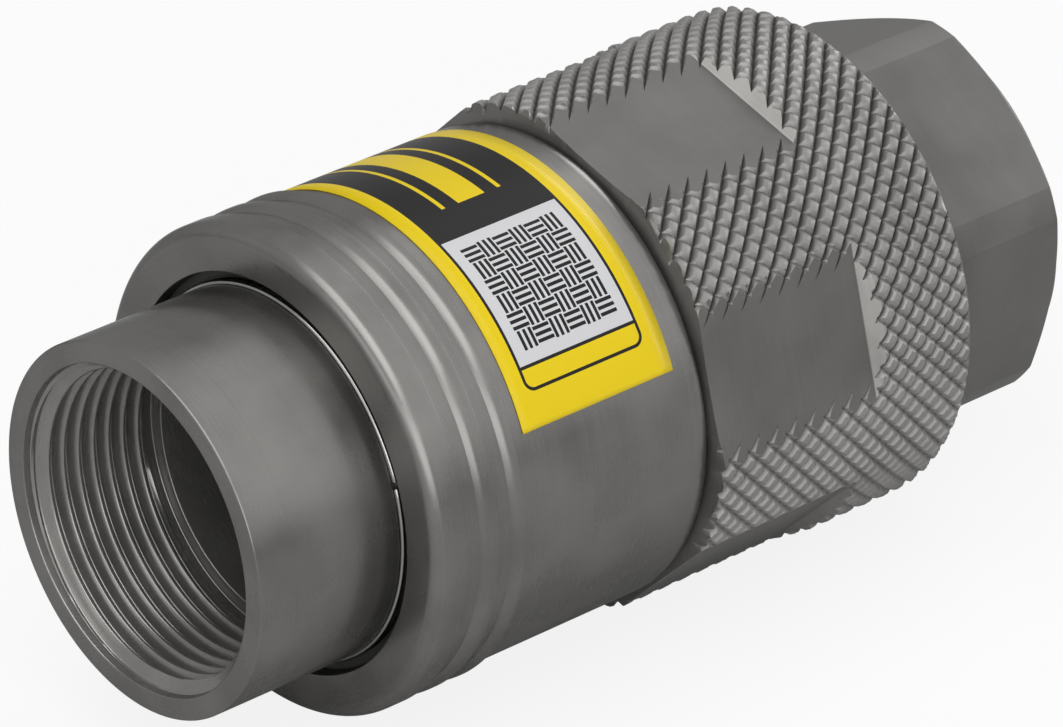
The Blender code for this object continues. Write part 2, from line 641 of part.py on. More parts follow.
def build_guide(name, rear, outer_radius, hub_radius, parts, cutters, parent):
    """Disc with a guide bore in the middle and flow holes round it."""
    front = rear + GUIDE_THICKNESS
    disc = turned(
        name,
        rear,
        [(front, outer_radius), (rear, outer_radius)],
        [(rear, hub_radius), (front, hub_radius)],
        TURNED_STEEL,
        parts,
        parent,
        INNER_SEGMENTS,
    )
    drills = holes_cutter(
        name + "_drills",
        GUIDE_HOLE_COUNT,
        GUIDE_HOLE_RADIUS,
        GUIDE_HOLE_CIRCLE,
        rear,
        front,
        cutters,
    )
    boolean(disc, drills, "DIFFERENCE")
    applied(disc)


def build_female_valve(parts, cutters, parent, sleeve_parent):
    """Fixed stem on its guide, and the spring-loaded sleeve that closes round its head."""
    build_guide(
        "stem_guide",
        FEMALE_GUIDE_REAR,
        NECK_BORE_RADIUS - SEAT_GAP,
        STEM_TAIL_RADIUS + SEAT_GAP,
        parts,
        cutters,
        parent,
    )
    head_rear = FEMALE_FACE - STEM_HEAD_LENGTH
    seal_front = FEMALE_FACE - VALVE_SEAL_SETBACK
    seal_rear = seal_front - VALVE_SEAL_GROOVE_LENGTH
    shoulder_rear = FEMALE_GUIDE_FRONT + SEAT_GAP
    shoulder_front = shoulder_rear + STEM_SHOULDER_LENGTH
    stem = [
        (FEMALE_FACE, 0.0),
        (FEMALE_FACE, VALVE_RADIUS),
        *reversed(groove(seal_rear, seal_front, VALVE_RADIUS, VALVE_SEAL_FLOOR)),
        (head_rear, VALVE_RADIUS),
        (head_rear - STEM_CONE_LENGTH, STEM_NECK_RADIUS),
        (shoulder_front, STEM_NECK_RADIUS),
        (shoulder_front, STEM_SHOULDER_RADIUS),
        (shoulder_rear, STEM_SHOULDER_RADIUS),
        (shoulder_rear, STEM_TAIL_RADIUS),
        (STEM_REAR, STEM_TAIL_RADIUS),
        (STEM_REAR, 0.0),
    ]
    applied(turned("valve_stem", STEM_REAR, stem, [], TURNED_STEEL, parts, parent, INNER_SEGMENTS))
    seal_ring(
        "stem_seal",
        0.5 * (seal_front + seal_rear),
        VALVE_SEAL_RADIUS,
        VALVE_SEAL_WIRE_RADIUS,
        BLACK_RUBBER,
        parts,
        parent,
    )

    nut_front = FEMALE_GUIDE_REAR - SEAT_GAP
    nut_rear = nut_front - STEM_NUT_THICKNESS
    nut_radius = 0.5 * STEM_NUT_ACROSS_FLATS / math.cos(math.pi / 6.0)
    nut = turned(
        "stem_nut",
        nut_rear,
        [(nut_front, nut_radius), (nut_rear, nut_radius)],
        [(nut_rear, STEM_TAIL_RADIUS + SEAT_GAP), (nut_front, STEM_TAIL_RADIUS + SEAT_GAP)],
        PLATED_STEEL,
        parts,
        parent,
        INNER_SEGMENTS,
    )
    hexagon = prism_cutter("stem_nut_limit", STEM_NUT_ACROSS_FLATS, nut_rear, nut_front, 0.0, cutters)
    boolean(nut, hexagon, "INTERSECT")
    applied(nut)

    skirt_radius = VALVE_BORE_RADIUS + VALVE_SLEEVE_SKIRT_WALL
    skirt_rear = VALVE_SLEEVE_REAR - VALVE_SLEEVE_SKIRT_LENGTH
    applied(
        turned(
            "valve_sleeve",
            VALVE_SLEEVE_REAR,
            [
                (VALVE_SLEEVE_FRONT, NOSE_RADIUS),
                (VALVE_SLEEVE_REAR, NOSE_RADIUS),
                (VALVE_SLEEVE_REAR, skirt_radius),
                (skirt_rear, skirt_radius),
            ],
            [(skirt_rear, VALVE_BORE_RADIUS), (VALVE_SLEEVE_FRONT, VALVE_BORE_RADIUS)],
            TURNED_STEEL,
            parts,
            sleeve_parent,
            INNER_SEGMENTS,
        )
    )
    wire_piece(
        "valve_sleeve_spring",
        coil_points(
            FEMALE_SPRING_REAR,
            SPRING_LENGTH,
            FEMALE_SPRING_RADIUS,
            SPRING_WIRE_RADIUS,
            SPRING_TURNS,
        ),
        SPRING_WIRE_RADIUS,
        FEMALE_SPRING_REAR,
        SPRING_STEEL,
        parts,
        parent,
    )


def build_locking_nut(parts, cutters, parent, root):
    """Locking nut with six milled flats that stop at a wall, and the ring its lip bears on."""
    thread_rear = NUT_FRONT - NUT_THREAD_LENGTH
    outer = [
        (NUT_FRONT, NUT_RADIUS - NUT_EDGE),
        (NUT_FRONT - NUT_EDGE, NUT_RADIUS),
        (NUT_REAR + NUT_EDGE, NUT_RADIUS),
        (NUT_REAR, NUT_RADIUS - NUT_EDGE),
    ]
    inner = [
        (NUT_REAR, LIP_BORE_RADIUS),
        (NUT_LIP_FRONT, LIP_BORE_RADIUS),
        (NUT_LIP_FRONT, NUT_RELIEF_RADIUS),
        (thread_rear - NUT_RELIEF_DEPTH, NUT_RELIEF_RADIUS),
        (thread_rear, NUT_THREAD_RADIUS),
        (NUT_FRONT - NUT_MOUTH_DEPTH, NUT_THREAD_RADIUS),
        (NUT_FRONT, NUT_RELIEF_RADIUS),
    ]
    nut = turned("locking_nut", NUT_REAR, outer, inner, PLATED_STEEL, parts, parent, OUTER_SEGMENTS)
    mill = flats_cutter(
        "nut_flats_mill",
        NUT_FLAT_COUNT,
        NUT_FLAT_DISTANCE,
        NUT_RADIUS,
        NUT_FRONT - NUT_FLAT_LENGTH,
        NUT_FRONT,
        NUT_FLAT_WALL_LEAN,
        NUT_FLAT_ANGLE,
        cutters,
    )
    boolean(nut, mill, "DIFFERENCE")
    applied(nut)

    ring_inner_radius = NECK_RADIUS + RUNNING_GAP
    ring_outer_radius = ring_inner_radius + BEARING_RING_WIDTH
    applied(
        turned(
            "nut_bearing_ring",
            BEARING_RING_REAR,
            [(BEARING_RING_FRONT, ring_outer_radius), (BEARING_RING_REAR, ring_outer_radius)],
            [(BEARING_RING_REAR, ring_inner_radius), (BEARING_RING_FRONT, ring_inner_radius)],
            BRONZE,
            parts,
            root,
            INNER_SEGMENTS,
        )
    )


def build_male_body(parts, parent):
    """Front body of the male half: threaded skirt outside, nose inside, collar for the sleeve."""
    web_front = MALE_FACE + WEB_THICKNESS
    cone_front = web_front + CHAMBER_STEP
    guide_step = MALE_GUIDE_REAR - SEAT_GAP
    tip_front = NOSE_TIP + NOSE_TIP_LENGTH
    cone_tip_front = tip_front + NOSE_TIP_STEP
    outer = [
        (MALE_BODY_FRONT, MALE_BODY_RADIUS),
        (COLLAR_FRONT, MALE_BODY_RADIUS),
        (COLLAR_FRONT, COLLAR_RADIUS),
        (SLEEVE_REAR, COLLAR_RADIUS),
        (SLEEVE_REAR, SKIRT_RADIUS),
        (NOSE_TIP + SKIRT_EDGE, SKIRT_RADIUS),
        (NOSE_TIP, SKIRT_RADIUS - SKIRT_EDGE),
    ]
    inner = [
        (NOSE_TIP, SKIRT_BORE_RADIUS),
        (MALE_FACE, SKIRT_BORE_RADIUS),
        (MALE_FACE, NOSE_RADIUS),
        (NOSE_TIP, NOSE_RADIUS),
        (NOSE_TIP, VALVE_BORE_RADIUS),
        (tip_front, VALVE_BORE_RADIUS),
        (cone_tip_front, NOSE_BORE_RADIUS),
        (web_front, NOSE_BORE_RADIUS),
        (cone_front, CHAMBER_RADIUS),
        (guide_step, CHAMBER_RADIUS),
        (guide_step, SPIGOT_BORE_RADIUS),
        (MALE_BODY_FRONT, SPIGOT_BORE_RADIUS),
    ]
    applied(turned("male_front_body", NOSE_TIP, outer, inner, PLATED_STEEL, parts, parent, INNER_SEGMENTS))


def build_male_valve(parts, cutters, parent, poppet_parent):
    """Poppet with its conical seat on its guide, and its seal and spring."""
    build_guide(
        "poppet_guide",
        MALE_GUIDE_REAR,
        SPIGOT_RADIUS,
        POPPET_ROD_RADIUS + RUNNING_GAP,
        parts,
        cutters,
        parent,
    )
    seal_rear = MALE_FACE + POPPET_SEAL_SETBACK
    seal_front = seal_rear + VALVE_SEAL_GROOVE_LENGTH
    poppet = [
        (POPPET_FRONT, 0.0),
        (POPPET_FRONT, POPPET_ROD_RADIUS),
        (POPPET_FLANGE_FRONT, POPPET_ROD_RADIUS),
        (POPPET_FLANGE_FRONT, POPPET_FLANGE_RADIUS),
        (POPPET_CONE_FRONT, POPPET_FLANGE_RADIUS),
        (POPPET_FLANGE_REAR, VALVE_RADIUS),
        *reversed(groove(seal_rear, seal_front, VALVE_RADIUS, VALVE_SEAL_FLOOR)),
        (MALE_FACE, VALVE_RADIUS),
        (MALE_FACE, 0.0),
    ]
    applied(turned("poppet", MALE_FACE, poppet, [], TURNED_STEEL, parts, poppet_parent, INNER_SEGMENTS))
    seal_ring(
        "poppet_seal",
        0.5 * (seal_front + seal_rear),
        VALVE_SEAL_RADIUS,
        VALVE_SEAL_WIRE_RADIUS,
        BLACK_RUBBER,
        parts,
        poppet_parent,
    )
    wire_piece(
        "poppet_spring",
        coil_points(
            MALE_SPRING_REAR,
            SPRING_LENGTH,
            MALE_SPRING_RADIUS,
            SPRING_WIRE_RADIUS,
            SPRING_TURNS,
        ),
        SPRING_WIRE_RADIUS,
        MALE_SPRING_REAR,
        SPRING_STEEL,
        parts,
        parent,
    )


def build_male_tube(parts, parent):
    """Port tube screwed into the front body, with the groove for the retaining ring."""
    groove_half_length = RETAINING_WIRE_RADIUS + RING_SIDE_CLEARANCE
    groove_floor = RETAINING_RING_RADIUS - RETAINING_WIRE_RADIUS - SEAT_GAP
    ring_groove = groove(
        RETAINING_RING_STATION - groove_half_length,
        RETAINING_RING_STATION + groove_half_length,
        TUBE_RADIUS,
        groove_floor,
    )
    seal_station = TUBE_REAR + 0.5 * SPIGOT_LENGTH
    seal_groove = groove(
        seal_station - 0.5 * BODY_SEAL_GROOVE_LENGTH,
        seal_station + 0.5 * BODY_SEAL_GROOVE_LENGTH,
        SPIGOT_RADIUS,
        SPIGOT_SEAL_FLOOR,
    )
    outer = [
        *front_round(TUBE_FRONT, TUBE_RADIUS, TUBE_RIM),
        *reversed(ring_groove),
        (TUBE_SHOULDER, TUBE_RADIUS),
        (TUBE_SHOULDER, SPIGOT_RADIUS),
        *reversed(seal_groove),
        (TUBE_REAR, SPIGOT_RADIUS),
    ]
    inner = [
        (TUBE_REAR, TUBE_BORE_RADIUS),
        (TUBE_FRONT - PORT_DEPTH, TUBE_BORE_RADIUS),
        *port_bore(TUBE_FRONT, -1),
    ]
    applied(turned("male_port_tube", TUBE_REAR, outer, inner, PLATED_STEEL, parts, parent, OUTER_SEGMENTS))
    seal_ring(
        "male_body_seal",
        seal_station,
        SPIGOT_SEAL_RADIUS,
        BODY_SEAL_WIRE_RADIUS,
        BLACK_RUBBER,
        parts,
        parent,
    )


def build_label_sleeve(parts, parent):
    """Sleeve round the male half, with its ringed front end, and the wire ring that keeps it on."""
    front_land_rear = SLEEVE_FRONT - FRONT_LAND_LENGTH
    front_groove_rear = front_land_rear - FRONT_GROOVE_LENGTH
    middle_land_rear = front_groove_rear - MIDDLE_LAND_LENGTH
    rear_groove_rear = middle_land_rear - REAR_GROOVE_LENGTH
    rear_land_rear = rear_groove_rear - REAR_LAND_LENGTH
    body_clearance_front = MALE_BODY_FRONT + SEAT_GAP
    outer = [
        *front_round(SLEEVE_FRONT, LAND_RADIUS, SLEEVE_FRONT_ROUND),
        (front_land_rear, LAND_RADIUS),
        (front_land_rear - GROOVE_FLANK, GROOVE_RADIUS),
        (front_groove_rear + GROOVE_FLANK, GROOVE_RADIUS),
        (front_groove_rear, LAND_RADIUS),
        (middle_land_rear, LAND_RADIUS),
        (middle_land_rear - GROOVE_FLANK, GROOVE_RADIUS),
        (rear_groove_rear + GROOVE_FLANK, GROOVE_RADIUS),
        (rear_groove_rear, LAND_RADIUS),
        (rear_land_rear, LAND_RADIUS),
        (rear_land_rear - GROOVE_FLANK, LABEL_RADIUS),
        *rear_round(SLEEVE_REAR, LABEL_RADIUS, SLEEVE_REAR_ROUND),
    ]
    inner = [
        (SLEEVE_REAR, SLEEVE_COLLAR_BORE_RADIUS),
        (COLLAR_FRONT + SEAT_GAP, SLEEVE_COLLAR_BORE_RADIUS),
        (COLLAR_FRONT + SEAT_GAP, SLEEVE_BORE_RADIUS),
        (body_clearance_front, SLEEVE_BORE_RADIUS),
        (body_clearance_front, SLEEVE_LIP_RADIUS),
        (SLEEVE_MOUTH_FLOOR, SLEEVE_LIP_RADIUS),
        (SLEEVE_MOUTH_FLOOR, SLEEVE_MOUTH_RADIUS),
        (SLEEVE_FRONT - SLEEVE_MOUTH_CHAMFER, SLEEVE_MOUTH_RADIUS),
        (SLEEVE_FRONT, SLEEVE_MOUTH_RADIUS + SLEEVE_MOUTH_CHAMFER),
    ]
    applied(turned("label_sleeve", SLEEVE_REAR, outer, inner, PLATED_STEEL, parts, parent, OUTER_SEGMENTS))
    wire_piece(
        "sleeve_retaining_ring",
        ring_points(
            RETAINING_RING_STATION,
            RETAINING_RING_RADIUS,
            RETAINING_RING_SPLIT_ANGLE,
            RETAINING_RING_SPLIT,
        ),
        RETAINING_WIRE_RADIUS,
        RETAINING_RING_STATION,
        SPRING_STEEL,
        parts,
        parent,
    )


def build():
    """Make the whole coupling."""
    clear_scene()
    parts = new_collection("hydraulic_quick_coupling")
    cutters = new_collection("cutters")
    female_half = axis_empty("female_half", parts)
    nut_axis = axis_empty("nut_axis", parts, female_half)
    valve_sleeve_axis = axis_empty("valve_sleeve_axis", parts, female_half)
    male_half = axis_empty("male_half", parts, female_half)
    poppet_axis = axis_empty("poppet_axis", parts, male_half)

    build_female_port_body(parts, cutters, female_half)
    build_female_socket(parts, female_half)
    build_female_valve(parts, cutters, female_half, valve_sleeve_axis)
    build_locking_nut(parts, cutters, nut_axis, female_half)
    build_male_body(parts, male_half)
    build_male_valve(parts, cutters, male_half, poppet_axis)
    build_male_tube(parts, male_half)
    build_label_sleeve(parts, male_half)


build()
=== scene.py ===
"""Looks of a screw-to-connect hydraulic quick coupling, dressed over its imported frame.

The coupling lies along X. A station is a distance along X, a radius is measured from that axis,
and an angle is counted about it from +Y towards +Z. Lengths are in metres, and MM is one millimetre.
"""

import math

import bmesh
import bpy
import numpy as np
from mathutils import Matrix, Vector


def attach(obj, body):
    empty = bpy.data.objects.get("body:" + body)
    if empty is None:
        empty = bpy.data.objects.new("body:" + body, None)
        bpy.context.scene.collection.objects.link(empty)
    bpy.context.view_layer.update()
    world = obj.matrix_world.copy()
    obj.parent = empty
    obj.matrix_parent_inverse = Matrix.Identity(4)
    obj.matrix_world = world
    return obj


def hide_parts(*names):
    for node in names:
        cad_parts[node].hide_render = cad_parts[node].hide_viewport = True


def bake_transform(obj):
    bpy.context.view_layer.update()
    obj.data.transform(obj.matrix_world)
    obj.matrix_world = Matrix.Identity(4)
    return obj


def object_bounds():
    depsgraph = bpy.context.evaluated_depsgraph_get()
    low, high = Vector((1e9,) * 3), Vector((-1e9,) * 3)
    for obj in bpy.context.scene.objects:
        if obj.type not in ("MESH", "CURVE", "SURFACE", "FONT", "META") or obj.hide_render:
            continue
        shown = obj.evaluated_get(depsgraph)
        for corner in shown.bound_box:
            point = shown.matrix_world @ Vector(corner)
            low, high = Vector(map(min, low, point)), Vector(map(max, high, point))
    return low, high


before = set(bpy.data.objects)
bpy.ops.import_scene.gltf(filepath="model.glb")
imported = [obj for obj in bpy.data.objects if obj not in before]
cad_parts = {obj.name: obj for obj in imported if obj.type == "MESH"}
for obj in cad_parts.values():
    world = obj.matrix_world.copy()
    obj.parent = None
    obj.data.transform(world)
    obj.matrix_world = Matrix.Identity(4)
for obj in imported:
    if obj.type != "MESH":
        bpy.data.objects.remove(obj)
cad_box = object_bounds()

MM = 0.001
DEGREE = math.pi / 180.0
FULL_TURN = 2.0 * math.pi

# Camera, at the photograph's place and angle
CAMERA_PLACE = Vector((607.552, 612.498, 446.501)) * MM
CAMERA_AIM = Vector((88.907, 24.106, 17.505)) * MM
SENSOR_WIDTH = 36.0
LENS = 254.462

# Fineness of the turned surfaces
FINE_COLUMNS = 288
PLAIN_COLUMNS = 192
FILLET_STEPS = 6
SHARP_ANGLE = 24.0 * DEGREE
MERGE_DISTANCE = 0.0005 * MM


def read_vectors(items, name):
    """A vector value of each vertex or face of a mesh, as one row of three numbers each."""
    values = np.empty(len(items) * 3, np.float32)
    items.foreach_get(name, values)
    return values.reshape(-1, 3).astype(float)


def extent(node):
    """Rearmost and foremost station, and smallest and largest radius, of a node of the frame."""
    places = read_vectors(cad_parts[node].data.vertices, "co")
    radii = np.hypot(places[:, 1], places[:, 2])
    return places[:, 0].min(), places[:, 0].max(), radii.min(), radii.max()


# Stations and radii read from the frame
TUBE_REAR, TUBE_FRONT, _, _ = extent("male_port_tube")
SLEEVE_REAR, SLEEVE_FRONT, _, LAND_RADIUS = extent("label_sleeve")
NUT_REAR, NUT_FRONT, NUT_LIP_BORE, NUT_RADIUS = extent("locking_nut")
_, NECK_FRONT, PORT_SHOULDER_RADIUS, HEX_CORNER_RADIUS = extent("female_port_body")
SOCKET_REAR, FEMALE_FACE, SOCKET_BORE, SOCKET_FLANGE_RADIUS = extent("female_socket")
NOSE_TIP, MALE_BODY_FRONT, VALVE_BORE, COLLAR_RADIUS = extent("male_front_body")
VALVE_SKIRT_REAR, VALVE_SLEEVE_FRONT, _, NOSE_RADIUS = extent("valve_sleeve")
STEM_REAR, STEM_FACE, _, VALVE_RADIUS = extent("valve_stem")
POPPET_FACE, POPPET_FRONT, _, POPPET_FLANGE_RADIUS = extent("poppet")
RING_REAR, _, _, _ = extent("sleeve_retaining_ring")
REAR_SPRING = extent("valve_sleeve_spring")
FRONT_SPRING = extent("poppet_spring")

# Pipe threads of both ports
PORT_MAJOR_RADIUS = 20.955 * MM
PORT_THREAD_HEIGHT = 1.479 * MM
PORT_PITCH = 2.309 * MM
PORT_THREAD_DEPTH = 18.6 * MM
PORT_DEPTH = 21.0 * MM
PORT_RELIEF_RADIUS = PORT_MAJOR_RADIUS + 0.25 * MM
PORT_SHOULDER_LENGTH = 1.4 * MM
PORT_MOUTH_RADIUS = PORT_MAJOR_RADIUS + 0.05 * MM
PORT_MOUTH_DEPTH = 1.05 * MM
PORT_EDGE_RADIUS = PORT_MOUTH_RADIUS + 0.15 * MM
PORT_EDGE_ROUND = 0.25 * MM
PORT_CHAMFER_SLOPE = 0.75
THREAD_FLANK_ANGLE = 62.5 * DEGREE
THREAD_ROUND = 0.137329 * PORT_PITCH
RUN_OUT_SLOPE = 2.0
THREAD_ARC_SHARES = (0.0, 0.04, 0.08, 0.122, 0.25)
THREAD_SHARES = (*THREAD_ARC_SHARES, 0.378, 0.42, 0.46, 0.5, 0.54, 0.58, 0.622, 0.75, 0.878, 0.92, 0.96)

# Port tube
TUBE_RADIUS = 24.0 * MM
TUBE_BORE = 18.5 * MM
TUBE_RIM = 0.3 * MM
TUBE_SHOULDER = MALE_BODY_FRONT + 0.3 * MM
SPIGOT_RADIUS = 22.0 * MM
TUBE_SMOOTH_BORE = 19.35 * MM
TUBE_SMOOTH_LENGTH = 11.0 * MM
TUBE_RELIEF_LENGTH = 1.4 * MM

# Label sleeve
LABEL_RADIUS = 31.0 * MM
GROOVE_RADIUS = LAND_RADIUS - 0.7 * MM
SLEEVE_COLLAR_BORE = COLLAR_RADIUS + 0.3 * MM
SLEEVE_BORE = 27.3 * MM
SLEEVE_LIP_BORE = TUBE_RADIUS + 0.3 * MM
SLEEVE_MOUTH_RADIUS = TUBE_RADIUS + 1.75 * MM
SLEEVE_MOUTH_FLOOR = RING_REAR - 0.3 * MM
COLLAR_FRONT = SLEEVE_REAR + 3.8 * MM
SLEEVE_FRONT_ROUND = 2.0 * MM
SLEEVE_REAR_ROUND = 1.9 * MM
SLEEVE_REAR_DROP = 1.0 * MM
SLEEVE_REAR_EDGE = SLEEVE_REAR - 0.2 * MM
LAND_EDGE = 0.1 * MM
STEP_LENGTH = 0.1 * MM
LAND_STEPS = ((4.56 * MM, 7.11 * MM), (9.56 * MM, 12.01 * MM))
LAST_LAND_STEP = 13.76 * MM
ARC_POINTS = 13
RAMP_POINTS = 8

# Retaining ring
WIRE_RADIUS = 0.42 * MM
RING_STATION = SLEEVE_FRONT - 0.93 * MM
RING_RADIUS = TUBE_RADIUS + 0.05 * MM
RING_GROOVE_SIDE = 0.04 * MM
RING_SPLIT_ANGLE = 19.0 * DEGREE
RING_SPLIT = 1.6 * DEGREE
RING_END_OFFSET = 0.12 * MM
RING_END_SHARE = 0.05
RING_POINTS = 240
WIRE_SIDES = 20

# Coil springs
SPRING_WIRE_RADIUS = 0.9 * MM
SPRING_TURNS = 4.25
SPRING_POINTS_PER_TURN = 40

# Hexagonal port body
HEX_FRONT = 22.7 * MM
HEX_FLAT_DISTANCE = 24.2 * MM
HEX_CORNER_ANGLE = 20.7 * DEGREE
HEX_CHAMFER_SLOPE = math.tan(60.0 * DEGREE)
NECK_RADIUS = 23.0 * MM
NECK_BORE = 19.2 * MM

# Locking nut
NUT_FLATS = 6
NUT_FLAT_DISTANCE = 31.15 * MM
NUT_FLAT_ANGLE = 14.8 * DEGREE
NUT_FLAT_LENGTH = 26.1 * MM
NUT_FLAT_FILLET = 0.35 * MM
NUT_FRONT_EDGE = 29.6 * MM
NUT_FRONT_LEAN = 0.18
NUT_REAR_EDGE = 31.9 * MM
NUT_RELIEF_RADIUS = 28.4 * MM
NUT_LIP_FRONT = NUT_REAR + 6.2 * MM
NUT_THREAD_REAR = NUT_FRONT - 16.0 * MM

# Knurl: two sets of helical V grooves that cross at one known place
KNURL_STARTS = (61, 65)
KNURL_SPACINGS = (3.2155 * MM, 3.0941 * MM)
KNURL_CROSSING = (41.14 * MM, 37.73 * DEGREE)
KNURL_DEPTH = 0.95 * MM
KNURL_SHARES = (0.0, 0.25, 0.5, 0.75)
KNURL_CROWN = 0.3
KNURL_TOP_SHARE = 0.5
KNURL_SHALLOW_SHARE = 0.6
KNURL_SHARP_ANGLE = 16.0 * DEGREE

# Thread between the nut and the male half
BODY_LEAD = 4.0 * MM
BODY_THREAD_CREST = 26.7 * MM
BODY_THREAD_DEPTH = 1.2 * MM
BODY_THREAD_CLEARANCE = 0.3 * MM
BODY_THREAD_STEEPNESS = 1.7
BODY_ROWS_PER_LEAD = 12
BODY_THREAD_SHARES = (0.0, 0.125, 0.25, 0.375, 0.5, 0.625, 0.75, 0.875)


def fillet_arc(before, corner, after, size):
    """Arc that rounds a corner of an outline: it touches both sides, and size is its radius."""
    corner = np.array(corner)
    to_before = np.array(before) - corner
    to_after = np.array(after) - corner
    length_before = np.linalg.norm(to_before)
    length_after = np.linalg.norm(to_after)
    to_before /= length_before
    to_after /= length_after
    half = 0.5 * math.acos(np.clip(to_before @ to_after, -1.0, 1.0))
    setback = min(size / math.tan(half), 0.49 * length_before, 0.49 * length_after)
    middle = to_before + to_after
    centre = corner + middle / np.linalg.norm(middle) * setback / math.cos(half)
    start = corner + setback * to_before - centre
    end = corner + setback * to_after - centre
    sweep = math.pi - 2.0 * half
    share = np.linspace(0.0, 1.0, FILLET_STEPS + 1)[:, None]
    arc = np.sin((1.0 - share) * sweep) * start + np.sin(share * sweep) * end
    return centre + arc / math.sin(sweep)


def outline(corners):
    """Outline through (station, radius, fillet) corners, where a fillet of 0 leaves the corner sharp."""
    runs = []
    for index, (station, radius, size) in enumerate(corners):
        if size:
            before = corners[index - 1][:2]
            after = corners[(index + 1) % len(corners)][:2]
            runs.append(fillet_arc(before, (station, radius), after, size))
        else:
            runs.append(np.array([[station, radius]]))
    return np.vstack(runs)


def turned_grid(stations, radii, angles):
    """Points x = station, y = radius cos(angle), z = radius sin(angle) over rows and columns."""
    stations, radii, angles = np.broadcast_arrays(stations, radii, angles)
    return np.stack([stations, radii * np.cos(angles), radii * np.sin(angles)], axis=-1)


def carried(profile, angles):
    """Points of an outline of stations and radii, carried round the axis over the given angles."""
    return turned_grid(profile[:, :1], profile[:, 1:], angles)


def helix_rows(low, high, lead, shares, turns):
    """Rows that climb one lead a turn between two stations, with their stations and numbers of leads.

    A row lies at the same share of a lead all round. Its station is lead (number + turns), kept
    between the two ends.
    """
    first = math.floor(low / lead - turns.max()) - 1
    last = math.ceil(high / lead - turns.min()) + 1
    numbers = (np.arange(first, last)[:, None] + np.array(shares)[None, :]).reshape(-1, 1)
    return np.clip(lead * (numbers + turns), low, high), numbers


def round_angles(columns):
    """Equal angles once round the axis."""
    return (np.arange(columns) * FULL_TURN / columns)[None, :]


def grid_faces(rows, columns, wrap_rows=True, wrap_columns=True):
    """Corner numbers of the quads between neighbouring rows and columns of a grid."""
    row, column = np.meshgrid(
        np.arange(rows if wrap_rows else rows - 1),
        np.arange(columns if wrap_columns else columns - 1),
        indexing="ij",
    )
    next_row = (row + 1) % rows
    next_column = (column + 1) % columns
    corners = [
        row * columns + column,
        next_row * columns + column,
        next_row * columns + next_column,
        row * columns + next_column,
    ]
    return np.stack(corners, axis=-1).reshape(-1, 4)


def meet_after_turn(faces, columns, first, count, shift):
    """Let rows that climb along a helix meet after one turn.

    There a row joins the one that lies shift rows further.
    """
    at_seam = faces[:, 2] % columns == 0
    for corner in (2, 3):
        row = faces[:, corner] // columns
        climbing = at_seam & (row >= first) & (row < first + count)
        met = np.clip(row + shift, first, first + count - 1)
        faces[climbing, corner] = (met * columns)[climbing]
    return faces


def show(piece):
    """Put a piece in the scene."""
    bpy.context.scene.collection.objects.link(piece)
    return piece


def solid(name, points, faces, sharp_angle=SHARP_ANGLE):
    """Closed piece from points and faces, with doubles merged and faces turned outwards."""
    mesh = bpy.data.meshes.new(name)
    mesh.from_pydata(points.reshape(-1, 3), [], faces.tolist())
    shape = bmesh.new()
    shape.from_mesh(mesh)
    bmesh.ops.remove_doubles(shape, verts=shape.verts, dist=MERGE_DISTANCE)
    bmesh.ops.recalc_face_normals(shape, faces=shape.faces)
    shape.to_mesh(mesh)
    shape.free()
    mesh.shade_smooth()
    mesh.set_sharp_from_angle(angle=sharp_angle)
    return show(bpy.data.objects.new(name, mesh))


def turned(name, corners, columns=PLAIN_COLUMNS, closed=True):
    """Turned piece: its outline carried once round the axis. An open outline starts and ends on the axis."""
    points = carried(outline(corners), round_angles(columns))
    return solid(name, points, grid_faces(len(points), columns, wrap_rows=closed))


def port_thread(angles, mouth, inward):
    """Rows of an internal pipe thread in falling order of station, whose rows follow its helix.

    Over one pitch the height above the crest is an arc, a straight flank, an arc at the root and a
    flank back. The chamfer behind the mouth and the run-out into the relief win where they are larger.
    """
    start = mouth + inward * PORT_MOUTH_DEPTH
    end = mouth + inward * PORT_THREAD_DEPTH
    low, high = min(start, end), max(start, end)
    stations, pitches = helix_rows(low, high, PORT_PITCH, THREAD_SHARES, angles / FULL_TURN)
    from_crest = np.abs(pitches - np.round(pitches)) * PORT_PITCH
    to_root = 0.5 * PORT_PITCH - from_crest
    reach = THREAD_ROUND * math.sin(THREAD_FLANK_ANGLE)
    crest_arc = THREAD_ROUND - np.sqrt(np.clip(THREAD_ROUND**2 - from_crest**2, 0.0, None))
    root_arc = THREAD_ROUND - np.sqrt(np.clip(THREAD_ROUND**2 - to_root**2, 0.0, None))
    foot = THREAD_ROUND * (1.0 - math.cos(THREAD_FLANK_ANGLE))
    height = foot + (from_crest - reach) * math.tan(THREAD_FLANK_ANGLE)
    height = np.where(to_root < reach, PORT_THREAD_HEIGHT - root_arc, height)
    height = np.where(from_crest < reach, crest_arc, height)
    thread = PORT_MAJOR_RADIUS - PORT_THREAD_HEIGHT + height
    chamfer = PORT_MOUTH_RADIUS - np.abs(stations - start) / PORT_CHAMFER_SLOPE
    run_out = PORT_RELIEF_RADIUS - np.abs(stations - end) * RUN_OUT_SLOPE
    return turned_grid(stations, np.maximum(np.maximum(thread, chamfer), run_out), angles)[::-1]


def port_mouth(mouth, inward):
    """Outline of a port's mouth, from the face over a small round to the thread's chamfer."""
    face = (mouth, PORT_EDGE_RADIUS + 3.0 * MM)
    start = (mouth + inward * PORT_MOUTH_DEPTH, PORT_MOUTH_RADIUS)
    return fillet_arc(face, (mouth, PORT_EDGE_RADIUS), start, PORT_EDGE_ROUND)


def body_thread(stations, angles):
    """Height of the thread between nut and male half, 0 at its root and 1 at its crest.

    A triangle wave that climbs one lead a turn is made steeper and cut off flat at root and crest.
    """
    phase = stations / BODY_LEAD - angles / FULL_TURN
    triangle = 1.0 - 4.0 * np.abs(phase - np.floor(phase) - 0.5)
    return 0.5 + 0.5 * np.clip(BODY_THREAD_STEEPNESS * triangle, -1.0, 1.0)


